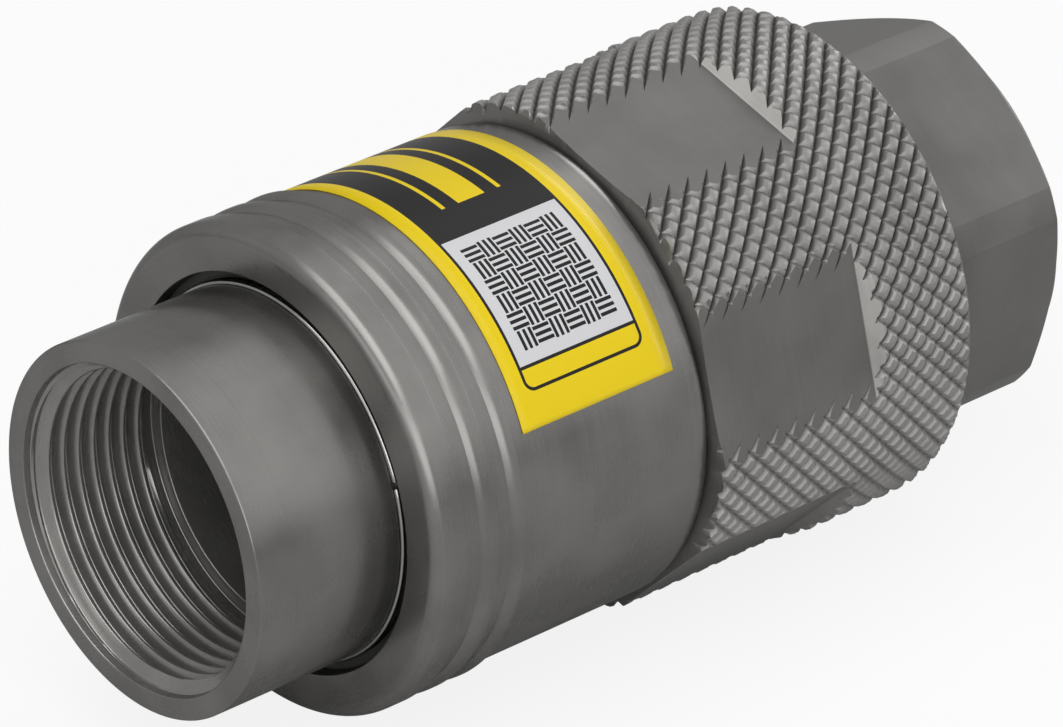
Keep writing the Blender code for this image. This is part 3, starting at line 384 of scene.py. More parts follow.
def build_port_tube():
    """Port tube, from its thread's end back along the bore, round the spigot and out to the rim."""
    thread_end = TUBE_FRONT - PORT_THREAD_DEPTH
    relief_end = thread_end - TUBE_RELIEF_LENGTH
    smooth_end = relief_end - TUBE_SMOOTH_LENGTH
    groove_reach = WIRE_RADIUS + RING_GROOVE_SIDE
    groove_rear = RING_STATION - groove_reach
    groove_front = RING_STATION + groove_reach
    groove_floor = RING_RADIUS - groove_reach
    plain = outline(
        [
            (thread_end, PORT_RELIEF_RADIUS, 0.0),
            (relief_end, PORT_RELIEF_RADIUS, 0.3 * MM),
            (relief_end, TUBE_SMOOTH_BORE, 0.2 * MM),
            (smooth_end, TUBE_SMOOTH_BORE, 0.0),
            (smooth_end - 0.8 * MM, TUBE_BORE, 0.0),
            (TUBE_REAR, TUBE_BORE, 0.0),
            (TUBE_REAR, SPIGOT_RADIUS, 0.0),
            (TUBE_SHOULDER, SPIGOT_RADIUS, 0.0),
            (TUBE_SHOULDER, TUBE_RADIUS, 0.3 * MM),
            (groove_rear, TUBE_RADIUS, 0.0),
            (groove_rear, groove_floor, 0.0),
            (groove_front, groove_floor, 0.0),
            (groove_front, TUBE_RADIUS, 0.08 * MM),
            (TUBE_FRONT, TUBE_RADIUS, TUBE_RIM),
            (TUBE_FRONT, TUBE_RADIUS - 1.0 * MM, 0.0),
        ]
    )
    angles = round_angles(FINE_COLUMNS)
    body = carried(np.vstack([plain, port_mouth(TUBE_FRONT, -1.0)]), angles)
    thread = port_thread(angles, TUBE_FRONT, -1.0)
    points = np.concatenate([body, thread])
    faces = grid_faces(len(points), FINE_COLUMNS)
    faces = meet_after_turn(faces, FINE_COLUMNS, len(body), len(thread), -len(THREAD_SHARES))
    return solid("port_tube", points, faces)


def rounded_end(station, radius, length, drop):
    """Corners of a quarter ellipse from an end face to a side, in that order.

    It starts at (station, radius - drop), and reaches the radius one length further.
    """
    turn = np.linspace(0.0, 0.5 * math.pi, ARC_POINTS)
    stations = station + length * (1.0 - np.cos(turn))
    radii = radius - drop * (1.0 - np.sin(turn))
    return [(x, r, 0.0) for x, r in zip(stations.tolist(), radii.tolist())]


def groove_ramp(foot):
    """Corners of a soft ramp from a groove up to the land behind it: an eighth of a circle."""
    depth = LAND_RADIUS - GROOVE_RADIUS
    radius = depth / (1.0 - math.cos(0.25 * math.pi))
    turn = np.linspace(0.25 * math.pi, 0.0, RAMP_POINTS)
    stations = foot - radius * (math.sin(0.25 * math.pi) - np.sin(turn))
    radii = LAND_RADIUS - radius * (1.0 - np.cos(turn))
    return [(x, r, 0.0) for x, r in zip(stations.tolist(), radii.tolist())]


def build_label_sleeve():
    """Sleeve with three lands in front, whose grooves have a steep front and a soft ramp behind."""
    grooves = []
    for behind_front, ramp_behind_front in LAND_STEPS:
        step = SLEEVE_FRONT - behind_front
        grooves += [(step, LAND_RADIUS, LAND_EDGE), (step - STEP_LENGTH, GROOVE_RADIUS, LAND_EDGE)]
        grooves += groove_ramp(SLEEVE_FRONT - ramp_behind_front)
    last_step = SLEEVE_FRONT - LAST_LAND_STEP
    return turned(
        "ringed_sleeve",
        [
            (SLEEVE_FRONT, SLEEVE_MOUTH_RADIUS, 0.15 * MM),
            *rounded_end(SLEEVE_FRONT, LAND_RADIUS, -SLEEVE_FRONT_ROUND, SLEEVE_FRONT_ROUND),
            *grooves,
            (last_step, LAND_RADIUS, LAND_EDGE),
            (last_step - STEP_LENGTH, LABEL_RADIUS, LAND_EDGE),
            *rounded_end(SLEEVE_REAR_EDGE, LABEL_RADIUS, SLEEVE_REAR_ROUND, SLEEVE_REAR_DROP)[::-1],
            (SLEEVE_REAR_EDGE, SLEEVE_COLLAR_BORE, 0.1 * MM),
            (COLLAR_FRONT + 0.3 * MM, SLEEVE_COLLAR_BORE, 0.0),
            (COLLAR_FRONT + 0.3 * MM, SLEEVE_BORE, 0.0),
            (TUBE_SHOULDER, SLEEVE_BORE, 0.0),
            (TUBE_SHOULDER, SLEEVE_LIP_BORE, 0.0),
            (SLEEVE_MOUTH_FLOOR, SLEEVE_LIP_BORE, 0.0),
            (SLEEVE_MOUTH_FLOOR, SLEEVE_MOUTH_RADIUS, 0.3 * MM),
        ],
        FINE_COLUMNS,
    )


def wire(name, stations, radii, angles, wire_radius):
    """Round wire along a path round the axis, with rounded ends.

    Each ring of the wire lies in the plane of the path's radial direction and the direction square
    to both that and the path, and the first and last rings shrink to points.
    """
    path = turned_grid(stations, radii, angles)
    outward = turned_grid(np.zeros_like(angles), np.ones_like(angles), angles)
    along = np.gradient(path, axis=0)
    along /= np.linalg.norm(along, axis=1)[:, None]
    outward -= np.sum(outward * along, axis=1)[:, None] * along
    outward /= np.linalg.norm(outward, axis=1)[:, None]
    sideways = np.cross(along, outward)

    def with_ends(values):
        first, last = (np.repeat(end, 5, axis=0) for end in (values[:1], values[-1:]))
        return np.concatenate([first, values[2:-2], last])

    turn = np.linspace(0.0, 0.5 * math.pi, 5)
    swell = np.sin(turn)
    reach = (1.0 - np.cos(turn))[:, None] * 0.5 * wire_radius
    centres = with_ends(path)
    centres[:5] += along[:1] * reach
    centres[-5:] -= along[-1:] * reach[::-1]
    widths = np.concatenate([swell, np.ones(len(path) - 4), swell[::-1]]) * wire_radius
    outward = with_ends(outward)
    sideways = with_ends(sideways)
    side = round_angles(WIRE_SIDES)[..., None]
    ring = np.cos(side) * outward[:, None, :] + np.sin(side) * sideways[:, None, :]
    points = centres[:, None, :] + widths[:, None, None] * ring
    return solid(name, points, grid_faces(len(centres), WIRE_SIDES, wrap_rows=False), 60.0 * DEGREE)


def build_retaining_ring():
    """Split wire ring in the sleeve's mouth, whose one end springs a little outwards."""
    share = np.linspace(0.0, 1.0, RING_POINTS)
    angles = RING_SPLIT_ANGLE + 0.5 * RING_SPLIT + share * (FULL_TURN - RING_SPLIT)
    radii = RING_RADIUS + RING_END_OFFSET * np.clip(1.0 - share / RING_END_SHARE, 0.0, 1.0) ** 2
    stations = np.full(RING_POINTS, RING_STATION)
    return wire("retaining_wire", stations, radii, angles, WIRE_RADIUS)


def build_spring(name, rear, front, inner, outer):
    """Coil spring: a helix whose pitch closes up at both ends, so that its end turns lie flat."""
    share = np.linspace(0.0, 1.0, int(SPRING_TURNS * SPRING_POINTS_PER_TURN))
    climb = share - 0.6 * np.sin(FULL_TURN * share) / FULL_TURN
    stations = rear + SPRING_WIRE_RADIUS + (front - rear - 2.0 * SPRING_WIRE_RADIUS) * climb
    radii = np.full_like(share, 0.5 * (inner + outer))
    return wire(name, stations, radii, FULL_TURN * SPRING_TURNS * share, SPRING_WIRE_RADIUS)


def hexagon_angles():
    """Angles round the hexagon and from the middle of each flat, exact where flats meet corner lands."""
    half_flat = math.acos(HEX_FLAT_DISTANCE / HEX_CORNER_RADIUS)
    flat = np.linspace(-half_flat, half_flat, 30, endpoint=False)
    land = np.linspace(half_flat, math.pi / 3.0 - half_flat, 8, endpoint=False)
    side = np.concatenate([flat, land])
    middles = HEX_CORNER_ANGLE + math.pi / 6.0 + np.arange(6) * math.pi / 3.0
    return (middles[:, None] + side[None, :]).reshape(1, -1), np.tile(side, 6)[None, :]


def build_hexagon_body():
    """Hexagonal port body: flats at one distance, cut off by a round and by a chamfer cone behind.

    Across a flat the radius is the flat's distance over the cosine of the angle from its middle,
    and the chamfer's edge lies where the cone has that radius.
    """
    angles, from_middle = hexagon_angles()
    side = np.minimum(HEX_FLAT_DISTANCE / np.cos(from_middle), HEX_CORNER_RADIUS)
    edge = 0.3 * MM + (side - HEX_FLAT_DISTANCE) / HEX_CHAMFER_SLOPE * 1.05
    rows = [
        turned_grid(0.0, HEX_FLAT_DISTANCE - 0.3 * MM, angles),
        turned_grid(0.05 * MM, HEX_FLAT_DISTANCE - 0.12 * MM, angles),
        turned_grid(edge - 0.1 * MM, side - 0.12 * MM, angles),
        turned_grid(edge + 0.15 * MM, side, angles),
        turned_grid(HEX_FRONT - 0.3 * MM, side, angles),
        turned_grid(HEX_FRONT, side - 0.3 * MM, angles),
    ]
    seal_front = NECK_FRONT - 0.9 * MM
    seal_rear = seal_front - 2.7 * MM
    groove_floor = NECK_RADIUS - 2.4 * MM
    plain = outline(
        [
            (HEX_FRONT, NECK_RADIUS, 0.0),
            (seal_rear, NECK_RADIUS, 0.0),
            (seal_rear, groove_floor, 0.0),
            (seal_front, groove_floor, 0.0),
            (seal_front, NECK_RADIUS, 0.0),
            (NECK_FRONT, NECK_RADIUS, 0.3 * MM),
            (NECK_FRONT, NECK_BORE, 0.2 * MM),
            (PORT_DEPTH + PORT_SHOULDER_LENGTH, NECK_BORE, 0.0),
            (PORT_DEPTH + PORT_SHOULDER_LENGTH, PORT_SHOULDER_RADIUS, 0.2 * MM),
            (PORT_DEPTH, PORT_SHOULDER_RADIUS, 0.2 * MM),
            (PORT_DEPTH, PORT_RELIEF_RADIUS, 0.3 * MM),
            (PORT_THREAD_DEPTH, PORT_RELIEF_RADIUS, 0.0),
        ]
    )
    before = np.concatenate([*rows, carried(plain, angles)])
    thread = port_thread(angles, 0.0, 1.0)
    points = np.concatenate([before, thread, carried(port_mouth(0.0, 1.0)[::-1], angles)])
    rows, columns = points.shape[:2]
    faces = grid_faces(rows, columns)
    faces = meet_after_turn(faces, columns, len(before), len(thread), -len(THREAD_SHARES))
    return solid("hexagon_body", points, faces)


def groove_depth(count):
    """Share of a knurl groove's depth at a count of grooves: 1 in a groove and 0 midway between two.

    Tops slope a little to both sides up to the groove's edge, and the groove is a straight-sided V.
    """
    from_middle = 1.0 - 2.0 * np.abs(count - np.round(count))
    groove = np.clip((from_middle - KNURL_TOP_SHARE) / (1.0 - KNURL_TOP_SHARE), 0.0, 1.0)
    return KNURL_CROWN * from_middle + (1.0 - KNURL_CROWN) * groove


def knurl_grid(rear, front):
    """Rows of a diamond knurl between two stations, with the angles of its columns.

    Rows and columns run from top to top of the pyramids. With u and v counting the grooves of either
    set, p = u + v is the same along a row and q = u - v along a column, and the surface lies as far
    below the tops as the deeper of the two grooves says. The grooves of the first set are the
    shallower ones. After one turn a row meets the one that lies further by the difference of the two
    numbers of starts.
    """
    right, left = KNURL_STARTS
    rate_sum = 1.0 / KNURL_SPACINGS[0] + 1.0 / KNURL_SPACINGS[1]
    rate_difference = 1.0 / KNURL_SPACINGS[0] - 1.0 / KNURL_SPACINGS[1]
    shift_per_radian = (right - left) / FULL_TURN
    turn_per_radian = (right + left) / FULL_TURN
    determinant = rate_sum * turn_per_radian - rate_difference * shift_per_radian
    shares = np.array(KNURL_SHARES)
    station_0, angle_0 = KNURL_CROSSING
    first = math.floor((station_0 - front) * rate_sum) - 6
    last = math.ceil((station_0 - rear) * rate_sum) + 6
    p = (np.arange(first, last)[:, None] + shares[None, :]).reshape(-1, 1)
    q = (np.arange(right + left)[:, None] + shares[None, :]).reshape(1, -1)
    stations = station_0 + (shift_per_radian * q - turn_per_radian * p) / determinant
    stations = np.clip(stations, rear, front)
    angles = angle_0 + (q + rate_difference * (stations - station_0)) / turn_per_radian
    u = right * (angles - angle_0) / FULL_TURN - (stations - station_0) / KNURL_SPACINGS[0]
    v = -left * (angles - angle_0) / FULL_TURN - (stations - station_0) / KNURL_SPACINGS[1]
    below = np.maximum(KNURL_SHALLOW_SHARE * groove_depth(u), groove_depth(v))
    radii = NUT_RADIUS - KNURL_DEPTH * below
    radii = np.minimum(radii, NUT_FRONT_EDGE + (front - stations) / NUT_FRONT_LEAN)
    radii = np.minimum(radii, NUT_REAR_EDGE + (stations - rear))
    points = turned_grid(stations, radii, angles)
    row_shift = (left - right) * len(shares)
    edge_angles = angle_0 + q / turn_per_radian
    return points, edge_angles, row_shift, rate_difference / turn_per_radian, first


def knurl_triangles(faces, rows, columns, first_cell):
    """Cut the knurl's quads along the diagonal on which their groove runs, as it changes cell by cell.

    A cell is the square between neighbouring whole numbers of p and q. Where their sum is even, the
    groove joins its first and last corner, and else the two others.
    """
    share_count = len(KNURL_SHARES)
    row = np.minimum(faces[:, 0] // columns, faces[:, 1] // columns)
    column = faces[:, 0] % columns
    cell = (rows - 2 - row) // share_count + first_cell + column // share_count
    even = (cell % 2 == 0)[:, None]
    first = np.where(even, faces[:, [1, 2, 3]], faces[:, [0, 1, 2]])
    second = np.where(even, faces[:, [1, 3, 0]], faces[:, [0, 2, 3]])
    return np.concatenate([first, second])


def build_locking_nut():
    """Knurled nut: the knurl's rows, then the front face and the threaded bore on the same columns."""
    knurl, edge_angles, row_shift, lean, first_cell = knurl_grid(NUT_REAR, NUT_FRONT)
    thread_rows = int((NUT_FRONT - NUT_THREAD_REAR) / BODY_LEAD * BODY_ROWS_PER_LEAD)
    thread_stations = np.linspace(NUT_FRONT, NUT_THREAD_REAR, thread_rows)[:, None]
    behind = outline(
        [
            (NUT_THREAD_REAR, NUT_RELIEF_RADIUS, 0.0),
            (NUT_LIP_FRONT, NUT_RELIEF_RADIUS, 0.3 * MM),
            (NUT_LIP_FRONT, NUT_LIP_BORE, 0.2 * MM),
            (NUT_REAR, NUT_LIP_BORE, 0.3 * MM),
            (NUT_REAR, NUT_REAR_EDGE - 1.0 * MM, 0.0),
        ]
    )

    def column_angles(stations):
        return edge_angles + lean * (stations - KNURL_CROSSING[0])

    thread_angles = column_angles(thread_stations)
    radius = BODY_THREAD_CREST - BODY_THREAD_DEPTH + BODY_THREAD_CLEARANCE
    radii = radius + BODY_THREAD_DEPTH * body_thread(thread_stations, thread_angles)
    mouth = NUT_RELIEF_RADIUS - np.abs(NUT_FRONT - thread_stations)
    thread = turned_grid(thread_stations, np.maximum(radii, mouth), thread_angles)
    inside = carried(behind, column_angles(behind[:, :1]))
    points = np.concatenate([knurl[::-1], thread, inside])
    rows, columns = points.shape[:2]
    faces = grid_faces(rows, columns)
    faces = meet_after_turn(faces, columns, 0, len(knurl), -row_shift)
    knurled, plain = np.split(faces, [(len(knurl) - 1) * columns])
    knurled = knurl_triangles(knurled, len(knurl), columns, first_cell)
    faces = np.concatenate([knurled, plain[:, [0, 1, 2]], plain[:, [0, 2, 3]]])
    nut = solid("knurled_nut", points, faces)
    mill = build_flats_mill()
    cut = nut.modifiers.new("flats", "BOOLEAN")
    cut.operation = "DIFFERENCE"
    cut.solver = "EXACT"
    cut.object = mill
    bpy.context.view_layer.update()
    evaluated = nut.evaluated_get(bpy.context.evaluated_depsgraph_get())
    mesh = bpy.data.meshes.new_from_object(evaluated)
    nut.modifiers.clear()
    nut.data = mesh
    mesh.shade_smooth()
    mesh.set_sharp_from_angle(angle=KNURL_SHARP_ANGLE)
    bpy.data.objects.remove(mill, do_unlink=True)
    return nut


def milled_faces(mesh):
    """Finish of each face of the nut: 1 on flats, 2 on their walls and fillets, 3 in front, else 0.

    A milled face looks square to the flat's own side direction, and lies on the flat or on its wall.
    """
    centres = read_vectors(mesh.polygons, "center")
    normals = read_vectors(mesh.polygons, "normal")
    none = np.zeros(len(centres))
    step = FULL_TURN / NUT_FLATS
    angle = np.arctan2(centres[:, 2], centres[:, 1]) - NUT_FLAT_ANGLE
    angle = NUT_FLAT_ANGLE + np.round(angle / step) * step
    out = np.stack([none, np.cos(angle), np.sin(angle)], axis=1)
    side = np.stack([none, -np.sin(angle), np.cos(angle)], axis=1)
    above = np.sum(centres * out, axis=1) - NUT_FLAT_DISTANCE
    behind = np.clip(NUT_FRONT - NUT_FLAT_LENGTH - centres[:, 0], 0.0, None)
    square = np.abs(np.sum(normals * side, axis=1)) < 0.01
    outwards = np.sum(normals * out, axis=1) > 0.6
    near = np.abs(above - behind) < 0.25 * MM
    milled = square & outwards & near & (above > -0.02 * MM)
    wall = milled & (np.sum(normals * out, axis=1) < 0.995)
    front = (normals[:, 0] > 0.7) & (centres[:, 0] > NUT_FRONT - 2.5 * MM) & ~milled
    return np.select([front, wall, milled], [3, 2, 1], 0).astype(np.int32)


def recessed_faces(mesh, station, radius):
    """1 for each face whose middle lies behind a station and within a radius, else 0."""
    centres = read_vectors(mesh.polygons, "center")
    inside = (centres[:, 0] < station) & (np.hypot(centres[:, 1], centres[:, 2]) < radius)
    return inside.astype(np.int32)


def build_flats_mill():
    """Six blocks that mill the nut's flats back to a leaning wall with a small fillet at its foot."""
    foot = NUT_FRONT - NUT_FLAT_LENGTH
    top = NUT_RADIUS + 2.0 * MM
    width = 20.0 * MM
    section = outline(
        [
            (NUT_FRONT + 3.0 * MM, NUT_FLAT_DISTANCE, 0.0),
            (NUT_FRONT + 3.0 * MM, top, 0.0),
            (foot - (top - NUT_FLAT_DISTANCE), top, 0.0),
            (foot, NUT_FLAT_DISTANCE, NUT_FLAT_FILLET),
        ]
    )
    count = len(section)
    vertices = []
    faces = []
    for index in range(NUT_FLATS):
        angle = NUT_FLAT_ANGLE + index * FULL_TURN / NUT_FLATS
        out = np.array([0.0, math.cos(angle), math.sin(angle)])
        side = np.array([0.0, -math.sin(angle), math.cos(angle)])
        near = section[:, :1] * [1.0, 0.0, 0.0] + section[:, 1:] * out
        first = index * 2 * count
        vertices.append(near - side * width)
        vertices.append(near + side * width)
        faces.append([first + k for k in range(count)])
        faces.append([first + count + k for k in reversed(range(count))])
        for k in range(count):
            following = (k + 1) % count
            faces.append([first + following, first + k, first + count + k, first + count + following])
    mesh = bpy.data.meshes.new("flats_mill")
    mesh.from_pydata(np.concatenate(vertices), [], faces)
    shape = bmesh.new()
    shape.from_mesh(mesh)
    bmesh.ops.recalc_face_normals(shape, faces=shape.faces)
    shape.to_mesh(mesh)
    shape.free()
    return show(bpy.data.objects.new("flats_mill", mesh))


def build_male_body():
    """Front body of the male half: threaded skirt outside, nose inside, collar for the sleeve.

    The rows of its thread follow the helix, each one at the same share of a lead.
    """
    skirt_bore = 23.0 * MM
    spigot_bore = 22.3 * MM
    chamber = 19.0 * MM
    nose_bore = 15.2 * MM
    tip_front = NOSE_TIP + 3.7 * MM
    web_front = POPPET_FACE + 2.6 * MM
    guide_step = 83.5 * MM
    inside = outline(
        [
            (SLEEVE_REAR, COLLAR_RADIUS, 0.3 * MM),
            (COLLAR_FRONT, COLLAR_RADIUS, 0.3 * MM),
            (COLLAR_FRONT, 27.0 * MM, 0.0),
            (MALE_BODY_FRONT, 27.0 * MM, 0.3 * MM),
            (MALE_BODY_FRONT, spigot_bore, 0.0),
            (guide_step, spigot_bore, 0.0),
            (guide_step, chamber, 0.0),
            (web_front + 3.8 * MM, chamber, 0.3 * MM),
            (web_front, nose_bore, 0.3 * MM),
            (tip_front + 2.9 * MM, nose_bore, 0.2 * MM),
            (tip_front, VALVE_BORE, 0.1 * MM),
            (NOSE_TIP, VALVE_BORE, 0.15 * MM),
            (NOSE_TIP, NOSE_RADIUS, 0.4 * MM),
            (POPPET_FACE, NOSE_RADIUS, 0.2 * MM),
            (POPPET_FACE, skirt_bore, 0.2 * MM),
            (NOSE_TIP, skirt_bore, 0.2 * MM),
        ]
    )
    angles = round_angles(FINE_COLUMNS)
    turns = angles / FULL_TURN
    stations, _ = helix_rows(NOSE_TIP, SLEEVE_REAR, BODY_LEAD, BODY_THREAD_SHARES, turns)
    root = BODY_THREAD_CREST - BODY_THREAD_DEPTH
    thread = root + BODY_THREAD_DEPTH * body_thread(stations, angles)
    tip = root + 0.1 * MM + stations - NOSE_TIP
    undercut = root + np.clip(SLEEVE_REAR - 2.5 * MM - stations, 0.0, None) * RUN_OUT_SLOPE
    outside = turned_grid(stations, np.minimum(np.minimum(thread, tip), undercut), angles)
    points = np.concatenate([outside, carried(inside, angles)])
    faces = grid_faces(len(points), FINE_COLUMNS)
    faces = meet_after_turn(faces, FINE_COLUMNS, 0, len(outside), len(BODY_THREAD_SHARES))
    return solid("threaded_male_body", points, faces)


def build_socket():
    """Socket that takes the nose, with the seal groove in its bore and a flange behind."""
    groove_front = FEMALE_FACE - 3.1 * MM
    groove_rear = groove_front - 4.4 * MM
    flange_front = NOSE_TIP - 1.0 * MM
    return turned(
        "socket",
        [
            (FEMALE_FACE, 22.7 * MM, 0.6 * MM),
            (flange_front, 22.7 * MM, 0.4 * MM),
            (flange_front, SOCKET_FLANGE_RADIUS, 0.3 * MM),
            (SOCKET_REAR, SOCKET_FLANGE_RADIUS, 0.3 * MM),
            (SOCKET_REAR, NECK_RADIUS + 0.3 * MM, 0.0),
            (NECK_FRONT + 0.3 * MM, NECK_RADIUS + 0.3 * MM, 0.0),
            (NECK_FRONT + 0.3 * MM, SOCKET_BORE, 0.0),
            (groove_rear, SOCKET_BORE, 0.1 * MM),
            (groove_rear, SOCKET_BORE + 2.8 * MM, 0.2 * MM),
            (groove_front, SOCKET_BORE + 2.8 * MM, 0.2 * MM),
            (groove_front, SOCKET_BORE, 0.1 * MM),
            (FEMALE_FACE, SOCKET_BORE, 0.5 * MM),
        ],
    )


def build_stem():
    """Fixed valve stem: flat head with a seal groove, slim neck, shoulder and tail."""
    seal_front = STEM_FACE - 1.0 * MM
    seal_rear = seal_front - 2.3 * MM
    floor = VALVE_RADIUS - 2.0 * MM
    head_rear = STEM_FACE - 5.0 * MM
    shoulder_rear = 28.0 * MM
    return turned(
        "stem",
        [
            (STEM_FACE, 0.0, 0.0),
            (STEM_FACE, VALVE_RADIUS, 0.25 * MM),
            (seal_front, VALVE_RADIUS, 0.0),
            (seal_front, floor, 0.0),
            (seal_rear, floor, 0.0),
            (seal_rear, VALVE_RADIUS, 0.0),
            (head_rear, VALVE_RADIUS, 0.5 * MM),
            (head_rear - 4.5 * MM, 5.0 * MM, 1.5 * MM),
            (shoulder_rear + 2.0 * MM, 5.0 * MM, 0.4 * MM),
            (shoulder_rear + 2.0 * MM, 6.5 * MM, 0.2 * MM),
            (shoulder_rear, 6.5 * MM, 0.0),
            (shoulder_rear, 4.0 * MM, 0.0),
            (STEM_REAR, 4.0 * MM, 0.5 * MM),
            (STEM_REAR, 0.0, 0.0),
        ],
        closed=False,
    )


def build_poppet():
    """Poppet: flat face, seal groove, conical seat with a rim, and its rod."""
    seal_rear = POPPET_FACE + 0.7 * MM
    seal_front = seal_rear + 2.3 * MM
    floor = VALVE_RADIUS - 2.0 * MM
    seat_rear = POPPET_FACE + 4.0 * MM
    seat_front = seat_rear + POPPET_FLANGE_RADIUS - VALVE_RADIUS
    return turned(
        "flat_poppet",
        [
            (POPPET_FRONT, 0.0, 0.0),
            (POPPET_FRONT, 5.0 * MM, 0.5 * MM),
            (seat_front + 0.8 * MM, 5.0 * MM, 0.5 * MM),
            (seat_front + 0.8 * MM, POPPET_FLANGE_RADIUS, 0.2 * MM),
            (seat_front, POPPET_FLANGE_RADIUS, 0.0),
            (seat_rear, VALVE_RADIUS, 0.0),
            (seal_front, VALVE_RADIUS, 0.0),
            (seal_front, floor, 0.0),
            (seal_rear, floor, 0.0),
            (seal_rear, VALVE_RADIUS, 0.0),
            (POPPET_FACE, VALVE_RADIUS, 0.2 * MM),
            (POPPET_FACE, 0.0, 0.0),
        ],
        closed=False,
    )


def build_valve_sleeve():
    """Sliding sleeve that closes round the stem's head, with a short skirt behind."""
    skirt_radius = VALVE_BORE + 1.9 * MM
    shoulder = VALVE_SKIRT_REAR + 3.0 * MM
    return turned(
        "sliding_sleeve",
        [
            (VALVE_SLEEVE_FRONT, NOSE_RADIUS, 0.3 * MM),
            (shoulder, NOSE_RADIUS, 0.3 * MM),
            (shoulder, skirt_radius, 0.2 * MM),
            (VALVE_SKIRT_REAR, skirt_radius, 0.2 * MM),
            (VALVE_SKIRT_REAR, VALVE_BORE, 0.1 * MM),
            (VALVE_SLEEVE_FRONT, VALVE_BORE, 0.2 * MM),
        ],
    )


# Light of the room: shares of white, its brightest side, and the cosines between which it fades
FLOOR_GLOW = 0.86
FLOOR_SHADE = 0.84
FLOOR_SHADE_IN_GLOSS = 0.62
ROOM_LEVELS = (0.52, 1.14)
ROOM_EDGE = (0.52, 0.74)
ROOM_BRIGHT_SIDE = (-0.35, 0.42, 0.84)
ROOM_SOFT_LIGHT = 0.31
LAMP_DISTANCE = 0.95
LAMP_AIM = (65.0 * MM, 0.0, 0.0)

# Lamps: name, direction they stand in, direction of their long side, size in metres, radiance
LAMPS = (
    ("top_front_light", (0.42, 0.20, 0.88), (-0.1, 1.0, -0.2), (1.1, 0.70), 2.3),
    ("port_light", (0.90, 0.10, 0.33), (0.0, 1.0, -0.1), (0.8, 0.30), 1.2),
    ("front_light", (0.58, 0.76, 0.26), (0.8, -0.5, 0.0), (0.7, 0.45), 2.4),
    ("rear_light", (-0.90, -0.03, 0.32), (-0.1, 0.62, -0.3), (1.1, 0.42), 3.8),
)

# Share of its gloss that a metal edge keeps where it is seen flat
EDGE_TINT = 0.6

# Scales of the noise on metal, and the span of noise that its tones use
MARKS_SCALE = 2200.0
CLOUDS_SCALE = 95.0
GRAIN_SCALE = 5200.0
NOISE_SPAN = (0.32, 0.68)

# Radii between which the knurl darkens as painted shade, and the share of its colour left in the grooves
KNURL_SHADE = (NUT_RADIUS - KNURL_DEPTH, NUT_RADIUS - 0.3 * KNURL_DEPTH, 0.35)

# Label on the sleeve, laid out in millimetres across (along X) and up (round the sleeve)
LABEL_REAR = 70.3 * MM
LABEL_FRONT = 94.3 * MM
LABEL_LOW_ANGLE = 22.3 * DEGREE
LABEL_HIGH_ANGLE = 164.0 * DEGREE
LABEL_THICKNESS = 0.1 * MM
LABEL_SHEET_RADIUS = LABEL_RADIUS + 0.12 * MM
LABEL_WIDTH = (LABEL_FRONT - LABEL_REAR) / MM
LABEL_HEIGHT = LABEL_SHEET_RADIUS * (LABEL_HIGH_ANGLE - LABEL_LOW_ANGLE) / MM
PANEL_MIDDLE = 12.3
PANEL_LOW = 7.5
PANEL_HIGH = 25.7
LINE_WIDTH = 0.42
BOX_HALF_WIDTH = 9.0 + LINE_WIDTH
BOX_LOW = 4.3
BOX_HIGH = LABEL_HEIGHT - BOX_LOW
BOX_ROUNDING = 1.5
BLOCK = 2.5
BLOCKS = 6
BARS_PER_BLOCK = 3
BAR_SHARE = 0.55
STRIPES = ((10.2, 14.4), (7.6, 8.2), (16.4, 17.0))
STRIPE_MARGIN = 5.0
LABEL_YELLOW = (0.78, 0.58, 0.010)
LABEL_BLACK = (0.007, 0.006, 0.006)
LABEL_WHITE = (0.62, 0.62, 0.64)


def build_label():
    """Thin label bent round the sleeve: a grid of stations and angles, thickened inwards."""
    rows, columns = 13, 121
    across = np.linspace(0.0, 1.0, rows)[:, None]
    up = np.linspace(0.0, 1.0, columns)[None, :]
    stations = LABEL_REAR + across * (LABEL_FRONT - LABEL_REAR)
    angles = LABEL_LOW_ANGLE + up * (LABEL_HIGH_ANGLE - LABEL_LOW_ANGLE)
    points = turned_grid(stations, LABEL_SHEET_RADIUS, angles)
    faces = grid_faces(rows, columns, wrap_rows=False, wrap_columns=False)[:, ::-1]
    mesh = bpy.data.meshes.new("printed_label")
    mesh.from_pydata(points.reshape(-1, 3), [], faces.tolist())
    places = np.stack(np.broadcast_arrays(across, up), axis=-1).reshape(-1, 2)
    corners = np.empty(len(mesh.loops), np.int32)
    mesh.loops.foreach_get("vertex_index", corners)
    layer = mesh.uv_layers.new(name="print")
    layer.data.foreach_set("uv", places[corners].ravel())
    mesh.shade_smooth()
    label = show(bpy.data.objects.new("printed_label", mesh))
    wall = label.modifiers.new("thickness", "SOLIDIFY")
    wall.thickness = LABEL_THICKNESS
    wall.offset = -1.0
    return label


def node(tree, kind, inputs=None, **settings):
    """Add a node with its settings, and give each named input a value or a link."""
    item = tree.nodes.new(kind)
    for name, value in settings.items():
        setattr(item, name, value)
    for name, value in (inputs or {}).items():
        if isinstance(value, bpy.types.NodeSocket):
            tree.links.new(value, item.inputs[name])
        else:
            item.inputs[name].default_value = value
    return item


def compute(tree, operation, *values):
    """Result of a math node."""
    return node(tree, "ShaderNodeMath", dict(enumerate(values)), operation=operation).outputs[0]


def both(tree, first, second):
    """Product of two values, which for marks of 0 and 1 is 1 only where both are."""
    return compute(tree, "MULTIPLY", first, second)


def weigh(tree, first, weight, second, other_weight):
    """Sum of two values, each times its own weight."""
    return compute(tree, "MULTIPLY_ADD", first, weight, both(tree, second, other_weight))


def noise(tree, place, scale, detail, roughness=0.5):
    """Noise read at a place."""
    inputs = {"Vector": place, "Scale": scale, "Detail": detail, "Roughness": roughness}
    return node(tree, "ShaderNodeTexNoise", inputs).outputs["Fac"]


